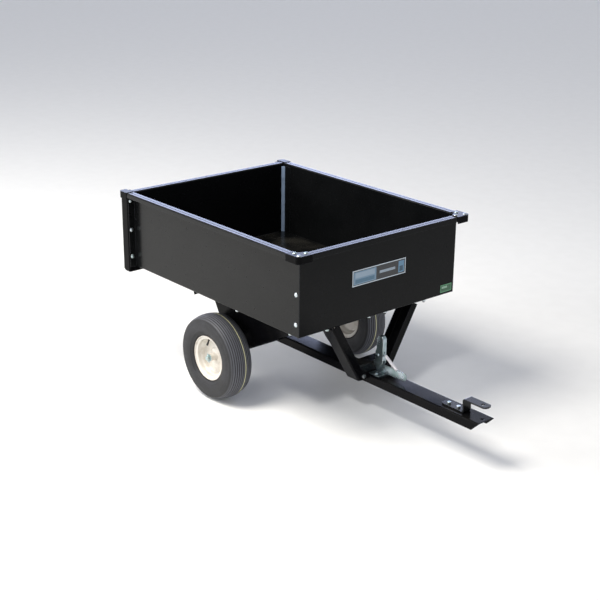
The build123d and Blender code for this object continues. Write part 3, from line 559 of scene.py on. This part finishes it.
def turn(build, outline, side, steps):
    """Turns a closed outline of (radius, outward offset) round one wheel's axle."""
    rings = []
    for k in range(steps):
        angle = math.tau * k / steps
        c, s = math.cos(angle), math.sin(angle)
        ring = [(axle_x + p[0] * c, side * (track + p[1]), axle_z + p[0] * s) for p in outline]
        rings.append([build.verts.new(co) for co in ring])
    count = len(outline)
    for k in range(steps):
        here, there = rings[k], rings[(k + 1) % steps]
        for i in range(count):
            j = (i + 1) % count
            build.faces.new((here[i], here[j], there[j], there[i]))


# %% [markdown]
# ## Tyres
# The wall is drawn from the bead, up the sidewall, over the shoulder and across the crown. Nine
# grooves break the crown into ribs. Their edges are sloped a little, as a mould needs to let go.


# %% Tyre wall
CROWN_ARC = 110 * MM
SHOULDER_TURN = math.radians(24.7)
GROOVES = [k * GROOVE_PITCH for k in range(-4, 5)]
GROOVE_HALF = 1.4 * MM
GROOVE_DEPTH = 2.6 * MM
SIDEWALL = [(76.1, 30.2), (79.1, 33.2), (89.2, 33.2), (90.0, 39.0), (91.6, 43.2), (97.0, 46.8), (102.0, 48.9)]
SIDEWALL += [(103.0, 49.9), (112.0, 51.8), (122.0, 52.5), (131.0, 52.1), (138.5, 50.8)]
SIDEWALL += [(139.5, 50.9), (147.0, 50.0), (152.2, 48.4)]


def crown_radius(offset):
    return tyre_r - CROWN_ARC + math.sqrt(CROWN_ARC**2 - offset**2)


def crown_points():
    """The crown from one shoulder to the other, with its grooves."""
    edge = CROWN_ARC * math.sin(SHOULDER_TURN)
    marks = [(z * MM, 0.0) for z in (-43.5, -40.0, -37.0, 37.0, 40.0, 43.5)] + [(-edge, 0.0), (edge, 0.0)]
    for z in GROOVES:
        marks += [(z - GROOVE_HALF, 0), (z - GROOVE_HALF * 0.55, GROOVE_DEPTH)]
        marks += [(z + GROOVE_HALF * 0.55, GROOVE_DEPTH), (z + GROOVE_HALF, 0)]
    marks += [((a + b) / 2, 0.0) for a, b in zip(GROOVES, GROOVES[1:])]
    return [Vector((crown_radius(z) - depth, z)) for z, depth in sorted(marks)]


def tyre_outline():
    wall = [Vector(p) * MM for p in SIDEWALL]
    inner_side = [Vector((p.x, -p.y)) for p in wall]
    inside = [(76.1, 21), (84, 22), (92, 36), (110, 44), (126, 45), (145, 37), (154, 21), (158, 0)]
    liner = [Vector(p) * MM for p in inside]
    back = [Vector((p.x, -p.y)) for p in liner[:-1]]
    return inner_side + crown_points() + wall[::-1] + liner + back[::-1]


TYRE_STEPS = 160
for side_name, side in (("right", -1), ("left", 1)):
    build = bmesh.new()
    turn(build, tyre_outline(), side, TYRE_STEPS)
    tyre = finish_mesh(
        f"ribbed_tyre_{side_name}", build, f"wheel_{side_name}", "tyre_rubber", 28, [f"tyre_{side_name}"]
    )
    print(tyre.name, len(tyre.data.polygons), "faces")

# %% [markdown]
# ## Mould nubs
# Air leaves a tyre mould through pin holes, and the rubber that follows it stays on as short hairs.
# They are scattered and slightly bent, so Geometry Nodes place them: points on a plain ring band, a
# small cone on each, turned along the surface.


# %% A tree builder, and the nub tree
def new_tree(name, sockets):
    """Geometry Nodes group with one geometry in, one out, and the named inputs."""
    group = bpy.data.node_groups.new(name, "GeometryNodeTree")
    group.interface.new_socket("Geometry", in_out="INPUT", socket_type="NodeSocketGeometry")
    group.interface.new_socket("Geometry", in_out="OUTPUT", socket_type="NodeSocketGeometry")
    for label, kind in sockets:
        group.interface.new_socket(label, in_out="INPUT", socket_type=f"NodeSocket{kind}")
    source = add(group, "NodeGroupInput").outputs
    return group, source


def close_tree(group, geometry, material):
    """Realize, give the finish, and join the output."""
    real = add(group, "GeometryNodeRealizeInstances", links={"Geometry": geometry})
    dressed = add(group, "GeometryNodeSetMaterial", links={"Geometry": real.outputs[0], "Material": material})
    add(group, "NodeGroupOutput", links={"Geometry": dressed.outputs[0]})


def grow(name, group, mesh, values, body, slot, angle=35, replaces=()):
    """Runs a tree on a mesh and keeps the result as a plain piece on a body."""
    seed = bpy.data.objects.new(name + "_seed", mesh)
    bpy.context.collection.objects.link(seed)
    modifier = seed.modifiers.new("grow", "NODES")
    modifier.node_group = group
    for item in group.interface.items_tree:
        if item.in_out == "INPUT" and item.name in values:
            modifier[item.identifier] = values[item.name]
    seed.update_tag()
    graph = bpy.context.evaluated_depsgraph_get()
    result = bpy.data.meshes.new_from_object(seed.evaluated_get(graph))
    bpy.data.objects.remove(seed)
    build = bmesh.new()
    build.from_mesh(result)
    return finish_mesh(name, build, body, slot, angle, replaces)


def nub_tree():
    sockets = (("Density", "Float"), ("Nub Length", "Float"), ("Nub Radius", "Float"), ("Seed", "Int"))
    group, source = new_tree("mould_nubs", sockets + (("Finish", "Material"),))
    links = {"Mesh": source["Geometry"], "Density": source["Density"], "Seed": source["Seed"]}
    points = add(group, "GeometryNodeDistributePointsOnFaces", links=links)
    cone = add(
        group,
        "GeometryNodeMeshCone",
        {"Vertices": 5, "Radius Top": 0.00015},
        {"Radius Bottom": source["Nub Radius"], "Depth": source["Nub Length"]},
    )
    tilt = add(
        group,
        "FunctionNodeRandomValue",
        {"data_type": "FLOAT_VECTOR", 0: (-0.5, -0.5, 0.0), 1: (0.5, 0.5, 6.2)},
        {"Seed": source["Seed"]},
    )
    turned = add(
        group,
        "FunctionNodeRotateEuler",
        {"rotation_type": "EULER", "space": "LOCAL"},
        {"Rotation": points.outputs["Rotation"], "Rotate By": tilt.outputs[0]},
    )
    placed = add(
        group,
        "GeometryNodeInstanceOnPoints",
        links={"Points": points.outputs["Points"], "Instance": cone.outputs["Mesh"], "Rotation": turned.outputs[0]},
    )
    close_tree(group, placed.outputs[0], source["Finish"])
    return group


# %% Nubs on both tyres
NUB_LENGTH, NUB_RADIUS = 0.0035, 0.0005
NUB_DENSITY, NUB_SEED = 900.0, 7
NUB_SKIN_STEPS = 60
NUB_SINK = 0.0004
nubs = nub_tree()
for number, (side_name, side) in enumerate((("right", -1), ("left", 1))):
    build = bmesh.new()
    skin = [Vector(p) * MM for p in SIDEWALL[7:]] + [Vector((crown_radius(z * MM), z * MM)) for z in (40, 26, 14)]
    turn(build, [Vector((p.x - NUB_SINK, p.y - NUB_SINK)) for p in skin], side, NUB_SKIN_STEPS)
    bmesh.ops.recalc_face_normals(build, faces=build.faces)
    mesh = bpy.data.meshes.new("nub_skin")
    build.to_mesh(mesh)
    build.free()
    values = {"Density": NUB_DENSITY, "Nub Length": NUB_LENGTH, "Nub Radius": NUB_RADIUS, "Seed": NUB_SEED + number}
    values["Finish"] = finishes["tyre_rubber"]
    piece = grow(f"mould_nubs_{side_name}", nubs, mesh, values, f"wheel_{side_name}", "tyre_rubber")
    print(piece.name, len(piece.data.polygons), "faces")

# %% [markdown]
# ## Rims
# Each rim is two pressed halves joined back to back round the hub tube. Drawn as one line from the
# hub out: a small boss, a flat disc, a steep bowl, the bead seat and a lip that curls outwards. The
# line gets the sheet's thickness and is turned once for each half.

# %% Pressed rim halves
RIM_SHEET = 2.5 * MM
RIM_LINE = [(16.6, 12), (16.8, 8.5), (27, 7.2), (32, 2.6), (57, 1.35), (66.5, 4.5), (70.6, 16)]
RIM_LINE += [(74.55, 21), (74.55, 34.85), (83.6, 34.9), (86.0, 41.2)]
half_rim = sheet_outline(rounded_path([Vector(p) * MM for p in RIM_LINE], 3.2 * MM), RIM_SHEET)
RIM_STEPS = 112
for side_name, side in (("right", -1), ("left", 1)):
    build = bmesh.new()
    turn(build, half_rim, side, RIM_STEPS)
    turn(build, [Vector((p.x, -p.y)) for p in half_rim], side, RIM_STEPS)
    finish_mesh(
        f"pressed_rim_{side_name}", build, f"wheel_{side_name}", "cream_rim_paint", 40, [f"wheel_rim_{side_name}"]
    )
print("rim outline", len(half_rim), "points")

# %% [markdown]
# ## Weld beads
# Where the hub tube passes the rim, and where the latch's upright stands on its base, there is a
# fillet weld: a row of overlapping ripples. A path is walked in steps of a few millimetres and each
# step drops one flattened bead, sized a little differently each time.


# %% Weld tree
def weld_tree():
    sockets = (("Step", "Float"), ("Bead Radius", "Float"), ("Seed", "Int"), ("Finish", "Material"))
    group, source = new_tree("weld_beads", sockets)
    path = add(group, "GeometryNodeMeshToCurve", links={"Mesh": source["Geometry"]})
    walk = {"Curve": path.outputs[0], "Length": source["Step"]}
    even = add(group, "GeometryNodeResampleCurve", {"mode": "LENGTH"}, walk)
    frame_of = add(group, "GeometryNodeInputTangent")
    facing = add(group, "FunctionNodeAlignEulerToVector", {"axis": "Z"}, {"Vector": frame_of.outputs[0]})
    bead = add(group, "GeometryNodeMeshIcoSphere", {"Subdivisions": 2}, {"Radius": source["Bead Radius"]})
    flat = add(group, "GeometryNodeTransform", {"Scale": (1.0, 1.0, 0.75)}, {"Geometry": bead.outputs["Mesh"]})
    size = add(group, "FunctionNodeRandomValue", {"data_type": "FLOAT", 2: 0.88, 3: 1.1}, {"Seed": source["Seed"]})
    points = add(group, "GeometryNodeCurveToPoints", {"mode": "EVALUATED"}, {"Curve": even.outputs[0]})
    placed = add(
        group,
        "GeometryNodeInstanceOnPoints",
        links={
            "Points": points.outputs["Points"],
            "Instance": flat.outputs[0],
            "Rotation": facing.outputs[0],
            "Scale": size.outputs[1],
        },
    )
    close_tree(group, placed.outputs[0], source["Finish"])
    return group


def path_mesh(paths, closed):
    """Mesh of bare edges along each path."""
    mesh = bpy.data.meshes.new("weld_path")
    points, edges = [], []
    for path in paths:
        first = len(points)
        points += path
        edges += [(first + i, first + i + 1) for i in range(len(path) - 1)]
        if closed:
            edges.append((first + len(path) - 1, first))
    mesh.from_pydata(points, edges, [])
    return mesh


# %% Welds on hubs and on the latch stand
HUB_WELD_R = 0.0163
HUB_WELD_OUT = 12.2 * MM
HUB_WELD_POINTS = 48
BASE_SHEET = 4 * MM
SEAM_HALF = 2.2 * MM
welds = weld_tree()
for number, (side_name, side) in enumerate((("right", -1), ("left", 1))):
    rings = []
    for out in (HUB_WELD_OUT, -HUB_WELD_OUT):
        ring = []
        for k in range(HUB_WELD_POINTS):
            angle = math.tau * k / HUB_WELD_POINTS
            x, z = axle_x + HUB_WELD_R * math.cos(angle), axle_z + HUB_WELD_R * math.sin(angle)
            ring.append((x, side * (track + out), z))
        rings.append(ring)
    values = {"Step": 0.0024, "Bead Radius": 0.0021, "Seed": number, "Finish": finishes["cream_rim_paint"]}
    grow(f"hub_weld_{side_name}", welds, path_mesh(rings, True), values, f"wheel_{side_name}", "cream_rim_paint")

stand_low = Vector(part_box("latch_stand")[0])
base_top = stand_low.z + BASE_SHEET
seams = [[(stand_low.x + x * MM, y, base_top) for x in range(8, 47, 2)] for y in (-SEAM_HALF, SEAM_HALF)]
values = {"Step": 0.0022, "Bead Radius": 0.0019, "Seed": 5, "Finish": finishes["zinc_plate"]}
grow("latch_stand_weld", welds, path_mesh(seams, False), values, "frame", "zinc_plate")
print("welds made")

# %% [markdown]
# ## Fasteners
# Carriage bolts have a low round head that sits straight on the sheet, and a hex nut behind. All of
# them repeat, so two trees make them: one for round heads, one for hexagons. Their places are read
# from the frame: each loose shell in a fastener node is one bolt or nut.


# %% Read the fastener places from the frame
def shells(node):
    """Box of every loose shell in a frame node."""
    build = bmesh.new()
    build.from_mesh(nodes[node].data)
    bmesh.ops.remove_doubles(build, verts=build.verts, dist=1e-6)
    left = set(build.verts)
    boxes = []
    while left:
        stack, seen = [left.pop()], []
        while stack:
            vert = stack.pop()
            seen.append(vert.co.copy())
            for edge in vert.link_edges:
                other = edge.other_vert(vert)
                if other in left:
                    left.remove(other)
                    stack.append(other)
        low = Vector([min(co[i] for co in seen) for i in range(3)])
        high = Vector([max(co[i] for co in seen) for i in range(3)])
        boxes.append((low, high))
    build.free()
    return sorted(boxes, key=lambda b: tuple(round(v, 5) for v in b[0]))


def seats(node, axis, length):
    """Where each fastener's head meets the sheet, and the way it faces."""
    found = []
    for low, high in shells(node):
        middle = (low + high) / 2
        way = Vector(axis(middle))
        reach = sum(abs(way[i]) * (high[i] - low[i]) for i in range(3))
        found.append((middle + way * (reach / 2 - length), way))
    return found


# %% [markdown]
# A fastener's direction is stored on its point as an attribute, and the tree turns the head to it.
# The round head is a cone whose rings are lifted onto an arc. The hexagon is a six-sided prism with
# a chamfered top, made by joining a prism and a short cone.


# %% Fastener trees
def head_and_shank(group, source, head):
    """Adds the shank under a head and sets one on every point, turned to its way."""
    shank = add(
        group,
        "GeometryNodeMeshCylinder",
        {"Vertices": 16},
        {"Radius": source["Shank Radius"], "Depth": source["Shank Length"]},
    )
    half = times(group, source["Shank Length"], -0.5)
    drop = add(group, "ShaderNodeCombineXYZ", links={"Z": half})
    move = {"Geometry": shank.outputs["Mesh"], "Translation": drop.outputs[0]}
    lowered = add(group, "GeometryNodeTransform", links=move)
    both = add(group, "GeometryNodeJoinGeometry")
    group.links.new(lowered.outputs[0], both.inputs[0])
    group.links.new(head, both.inputs[0])
    way = add(group, "GeometryNodeInputNamedAttribute", {"data_type": "FLOAT_VECTOR", "Name": "way"})
    facing = add(group, "FunctionNodeAlignEulerToVector", {"axis": "Z"}, {"Vector": way.outputs[0]})
    points = add(group, "GeometryNodeMeshToPoints", links={"Mesh": source["Geometry"]})
    placed = add(
        group,
        "GeometryNodeInstanceOnPoints",
        links={"Points": points.outputs[0], "Instance": both.outputs[0], "Rotation": facing.outputs[0]},
    )
    close_tree(group, placed.outputs[0], source["Finish"])


FASTENER_SOCKETS = (
    ("Head Radius", "Float"),
    ("Head Height", "Float"),
    ("Shank Radius", "Float"),
    ("Shank Length", "Float"),
    ("Finish", "Material"),
)


def round_head_tree():
    group, source = new_tree("carriage_bolts", FASTENER_SOCKETS)
    settings = {"Vertices": 24, "Side Segments": 6, "Radius Top": 0.0}
    size = {"Radius Bottom": source["Head Radius"], "Depth": source["Head Height"]}
    cone = add(group, "GeometryNodeMeshCone", settings, size)
    place = add(group, "GeometryNodeInputPosition")
    parts = add(group, "ShaderNodeSeparateXYZ", links={"Vector": place.outputs[0]})
    flat = add(group, "ShaderNodeCombineXYZ", links={"X": parts.outputs["X"], "Y": parts.outputs["Y"]})
    radius = add(group, "ShaderNodeVectorMath", {"operation": "LENGTH"}, {0: flat.outputs[0]})
    reach = {0: radius.outputs["Value"], 1: source["Head Radius"]}
    share = add(group, "ShaderNodeMath", {"operation": "DIVIDE"}, reach)
    square = add(group, "ShaderNodeMath", {"operation": "POWER", 1: 2.4}, {0: share.outputs[0]})
    fall = add(group, "ShaderNodeMath", {"operation": "SUBTRACT", 0: 1.0}, {1: square.outputs[0]})
    lift = times(group, fall.outputs[0], source["Head Height"])
    lifted = {"X": parts.outputs["X"], "Y": parts.outputs["Y"], "Z": lift}
    domed = add(group, "ShaderNodeCombineXYZ", links=lifted)
    head = add(group, "GeometryNodeSetPosition", links={"Geometry": cone.outputs["Mesh"], "Position": domed.outputs[0]})
    head_and_shank(group, source, head.outputs[0])
    return group


def hexagon_tree():
    group, source = new_tree("hexagon_heads", FASTENER_SOCKETS)
    prism = add(group, "GeometryNodeMeshCylinder", {"Vertices": 6}, {"Radius": source["Head Radius"]})
    tall = times(group, source["Head Height"], 0.86)
    group.links.new(tall, prism.inputs["Depth"])
    middle = times(group, source["Head Height"], 0.43)
    rise = add(group, "ShaderNodeCombineXYZ", links={"Z": middle})
    raised = {"Geometry": prism.outputs["Mesh"], "Translation": rise.outputs[0]}
    body = add(group, "GeometryNodeTransform", links=raised)
    inner = times(group, source["Head Radius"], 0.84)
    chamfer = times(group, source["Head Height"], 0.14)
    top = add(
        group,
        "GeometryNodeMeshCone",
        {"Vertices": 18},
        {"Radius Top": inner, "Depth": chamfer},
    )
    wide = times(group, source["Head Radius"], 0.87)
    group.links.new(wide, top.inputs["Radius Bottom"])
    lift = add(group, "ShaderNodeCombineXYZ", links={"Z": tall})
    cap = add(group, "GeometryNodeTransform", links={"Geometry": top.outputs["Mesh"], "Translation": lift.outputs[0]})
    head = add(group, "GeometryNodeJoinGeometry")
    group.links.new(cap.outputs[0], head.inputs[0])
    group.links.new(body.outputs[0], head.inputs[0])
    head_and_shank(group, source, head.outputs[0])
    return group


# %% Grow every fastener
def up(place):
    return (0, 0, 1)


def down(place):
    return (0, 0, -1)


def forwards(place):
    return (1, 0, 0)


def backwards(place):
    return (-1, 0, 0)


rear_posts_end = cad_box[0][0] + 0.2


def outwards(place):
    """Side bolts look out at the front end and forwards at the rear posts."""
    if place[0] < rear_posts_end:
        return (1, 0, 0)
    return (0, math.copysign(1, place[1]), 0)


def inwards(place):
    """Side nuts look the other way from their bolts."""
    if place[0] < rear_posts_end:
        return (-1, 0, 0)
    return (0, -math.copysign(1, place[1]), 0)


def seat_mesh(found):
    """Bare points, one per fastener, each carrying the way it faces."""
    mesh = bpy.data.meshes.new("fastener_seats")
    mesh.from_pydata([tuple(place) for place, way in found], [], [])
    attribute = mesh.attributes.new("way", "FLOAT_VECTOR", "POINT")
    for i, (place, way) in enumerate(found):
        attribute.data[i].vector = way
    return mesh


round_heads, hexagons = round_head_tree(), hexagon_tree()
DOME = {"Head Radius": 8.5 * MM, "Head Height": 4 * MM, "Shank Radius": 4 * MM}
BOLT = {"Head Radius": 7.5 * MM, "Head Height": 5.5 * MM, "Shank Radius": 4 * MM}
NUT = {"Head Radius": 7.5 * MM, "Head Height": 6.5 * MM, "Shank Radius": 4.08 * MM}
THIN_NUT = 4 * MM
FASTENERS = (
    ("side_bolts", round_heads, DOME, outwards, 14, "zinc_plate"),
    ("floor_bolts", round_heads, DOME, up, 16, "black_powder_coat"),
    ("cap_bolts", round_heads, DOME, up, 13, "zinc_plate"),
    ("stand_bolts", round_heads, DOME, up, 16, "zinc_plate"),
    ("hitch_bolts", hexagons, BOLT, up, 17, "zinc_plate"),
    ("striker_bolts", hexagons, BOLT, forwards, 16, "zinc_plate"),
    ("side_nuts", hexagons, NUT, inwards, 1, "zinc_plate"),
    ("floor_nuts", hexagons, NUT, down, 1, "zinc_plate"),
    ("cap_nuts", hexagons, NUT, down, 1, "zinc_plate"),
    ("stand_nuts", hexagons, NUT, down, 1, "zinc_plate"),
    ("hitch_nuts", hexagons, NUT, down, 1, "zinc_plate"),
    ("striker_nuts", hexagons, NUT, backwards, 1, "zinc_plate"),
)
for node, tree, sizes, facing, shank, slot in FASTENERS:
    height = THIN_NUT if node in ("cap_nuts", "side_nuts") else sizes["Head Height"]
    found = seats(node, facing, height)
    values = dict(sizes)
    values.update({"Head Height": height, "Shank Length": shank * MM, "Finish": finishes[slot]})
    piece = grow(f"fitted_{node}", tree, seat_mesh(found), values, body_of[node], slot, 30, [node])
    print(node, len(found), "of", len(piece.data.polygons), "faces")

# %% [markdown]
# ## Latch spring
# The spring is close-wound wire with a loop at each end, one through the lever and one through a hole
# in the arm. It is one long path: a straight hook, the helix, another hook. A curve with a round
# bevel turns the path into wire. The lever moves and the arm doesn't.

# %% Wind the spring
box_low, box_high = (Vector(corner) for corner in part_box("latch_spring"))
lever_high = Vector(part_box("latch_lever")[1])
WIRE = 2.2 * MM
COIL_R = 5.0 * MM
COIL_POINTS = 12
lever_hole = Vector((lever_high.x - 1.2 * MM, 0, box_high.z - 6.5 * MM))
arm_hole = Vector((box_high.x - 1.1 * MM, 0, box_low.z + 2.0 * MM))
along = (arm_hole - lever_hole).normalized()
coil_start = lever_hole + along * 9 * MM
coil_end = arm_hole - along * 16 * MM
COILS = round((coil_end - coil_start).length / WIRE)
across = Vector((0, 1, 0))
third = along.cross(across)
wire_path = [lever_hole - along * 3.5 * MM + third * 1.5 * MM, lever_hole - along * 4.5 * MM]
wire_path += [lever_hole - third * 2.2 * MM, lever_hole + along * 4 * MM - third * 1.0 * MM]
wire_path += [lever_hole + along * 6.5 * MM]
for k in range(COILS * COIL_POINTS + 1):
    angle = math.tau * k / COIL_POINTS
    centre = coil_start.lerp(coil_end, k / (COILS * COIL_POINTS))
    wire_path.append(centre + (across * math.sin(angle) + third * math.cos(angle)) * COIL_R)
wire_path += [arm_hole - along * 12 * MM + across * 1.5 * MM, arm_hole - along * 7 * MM + across * 4.2 * MM]
wire_path += [arm_hole + along * 1.0 * MM + across * 4.4 * MM, arm_hole + along * 2.6 * MM + across * 2.0 * MM]
wire_path += [arm_hole + along * 2.2 * MM - across * 2.4 * MM, arm_hole - along * 1.5 * MM - across * 3.6 * MM]

curve = bpy.data.curves.new("latch_spring_wire", "CURVE")
curve.dimensions = "3D"
curve.bevel_depth = WIRE / 2
curve.bevel_resolution = 2
curve.use_fill_caps = True
spline = curve.splines.new("POLY")
spline.points.add(len(wire_path) - 1)
for point, co in zip(spline.points, wire_path):
    point.co = (*co, 1)
holder = bpy.data.objects.new("spring_holder", curve)
bpy.context.collection.objects.link(holder)
wire_mesh = bpy.data.meshes.new_from_object(holder.evaluated_get(bpy.context.evaluated_depsgraph_get()))
bpy.data.objects.remove(holder)
wire_mesh.shade_smooth()
wire_mesh.materials.clear()
wire_mesh.materials.append(finishes["spring_steel"])
spring = bpy.data.objects.new("latch_spring_coil", wire_mesh)
bpy.context.collection.objects.link(spring)
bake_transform(spring)
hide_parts("latch_spring")
print("spring wire", round(sum((b - a).length for a, b in zip(wire_path, wire_path[1:])), 3), "m")

# %% [markdown]
# ## Floor, light and camera
# A pale floor, two soft panels and one narrow spot. Black gloss shows what it reflects more than what
# lights it, so most of the light comes from the studio's own walls. The panel overhead models the
# tread and the dome heads, a weaker one fills the near side, and the spot brightens the latch.

# %% Floor
FLOOR_REACH = 150.0
corners = [(x * FLOOR_REACH, y * FLOOR_REACH, 0) for x, y in ((-1, -1), (1, -1), (1, 1), (-1, 1))]
floor_mesh = bpy.data.meshes.new("studio_floor")
floor_mesh.from_pydata(corners, [], [(0, 1, 2, 3)])
floor = bpy.data.objects.new("studio_floor", floor_mesh)
bpy.context.collection.objects.link(floor)
floor_material, tree, shader, place = start_material("pale studio floor, matt")
shade = blend_colour(tree, ramp(tree, grain(tree, place, 0.08, 3.0), 0.3, 0.7), "#F4F4F2", "#F2F2F0")
tree.links.new(shade, shader.inputs["Base Color"])
shader.inputs["Roughness"].default_value = 0.9
floor_mesh.materials.append(floor_material)
print("floor", 2 * FLOOR_REACH, "m across")


# %% Lights
def aim(lamp, place, target):
    """Hangs a lamp at a place and turns it to its target."""
    holder = bpy.data.objects.new(lamp.name, lamp)
    holder.location = place
    holder.rotation_euler = (Vector(target) - Vector(place)).to_track_quat("-Z", "Y").to_euler()
    bpy.context.collection.objects.link(holder)


def soft_light(name, place, target, width, height, power, colour):
    lamp = bpy.data.lights.new(name, "AREA")
    lamp.shape = "RECTANGLE"
    lamp.size, lamp.size_y, lamp.energy = width, height, power
    lamp.color = paint(colour)[:3]
    aim(lamp, place, target)


def spot_light(name, place, target, cone, blend, radius, power):
    lamp = bpy.data.lights.new(name, "SPOT")
    lamp.energy, lamp.spot_size, lamp.spot_blend = power, cone, blend
    lamp.shadow_soft_size = radius
    aim(lamp, place, target)


soft_light("overhead_panel", (-0.9, -2.3, 4.2), (-0.7, -0.9, 0.0), 2.0, 2.0, 230, "#FFFAF2")
spot_light("latch_spot", (1.9, -2.6, 3.6), (0.3, 0.0, 0.22), cone=0.22, blend=0.9, radius=0.25, power=260)
soft_light("near_side_panel", (-3.0, -4.6, 2.8), (-1.4, -1.6, 0.0), 3.0, 1.6, 110, "#FFFFFF")
print("lights", sorted(lamp.name for lamp in bpy.data.lights))

# %% [markdown]
# The sky of the studio is a plain gradient, bright low down as from white walls and dimmer overhead,
# with one soft bluish window behind the cart. Flat rims seen at a shallow angle mirror that window,
# which draws their pale lines, while upright black panels mirror the floor and stay dark.

# %% Studio sky
WINDOW_WAY = (-0.759, 0.637, 0.139)
WINDOW_EDGE, WINDOW_FULL = 0.945, 0.982
WINDOW_STRENGTH = 4.6
world = bpy.data.worlds.new("studio")
bpy.context.scene.world = world
world.use_nodes = True
sky_tree = world.node_tree
sky = sky_tree.nodes["Background"]
direction = add(sky_tree, "ShaderNodeTexCoord").outputs["Generated"]
height = add(sky_tree, "ShaderNodeSeparateXYZ", links={"Vector": direction}).outputs["Z"]
window = add(sky_tree, "ShaderNodeVectorMath", {"operation": "DOT_PRODUCT", 1: WINDOW_WAY}, {0: direction})
panel = ramp(sky_tree, window.outputs["Value"], WINDOW_EDGE, WINDOW_FULL)
sky_tree.links.new(blend_colour(sky_tree, panel, "#F0F2F8", "#CCD8FF"), sky.inputs["Color"])
walls = ramp(sky_tree, height, 0.8, 0.2, 0.35, 1.15)
bright = add(sky_tree, "ShaderNodeMath", {"operation": "MULTIPLY_ADD", 1: WINDOW_STRENGTH}, {0: panel, 2: walls})
sky_tree.links.new(bright.outputs[0], sky.inputs["Strength"])
print("window towards", WINDOW_WAY)

# %% [markdown]
# A long lens from the front right corner, a little above the cart, keeps its edges close to parallel.

# %% Camera
CAMERA_PLACE = (3.2814, -2.9597, 2.0001)
CAMERA_AZIMUTH, CAMERA_ELEVATION, CAMERA_ROLL = 49.5022, 20.1015, 0.58
CAMERA_LENS = 75.34
lens = bpy.data.cameras.new("camera")
lens.lens = CAMERA_LENS
lens.sensor_width = 36.0
camera = bpy.data.objects.new("camera", lens)
yaw = Matrix.Rotation(math.radians(CAMERA_AZIMUTH), 4, "Z")
turned = yaw @ Matrix.Rotation(math.radians(90 - CAMERA_ELEVATION), 4, "X")
roll = Matrix.Rotation(math.radians(CAMERA_ROLL), 4, "Z")
camera.matrix_world = Matrix.Translation(CAMERA_PLACE) @ turned @ roll
bpy.context.collection.objects.link(camera)
bpy.context.scene.camera = camera
bpy.context.scene.view_settings.view_transform = "Standard"
print("camera at", CAMERA_PLACE, "lens", CAMERA_LENS)
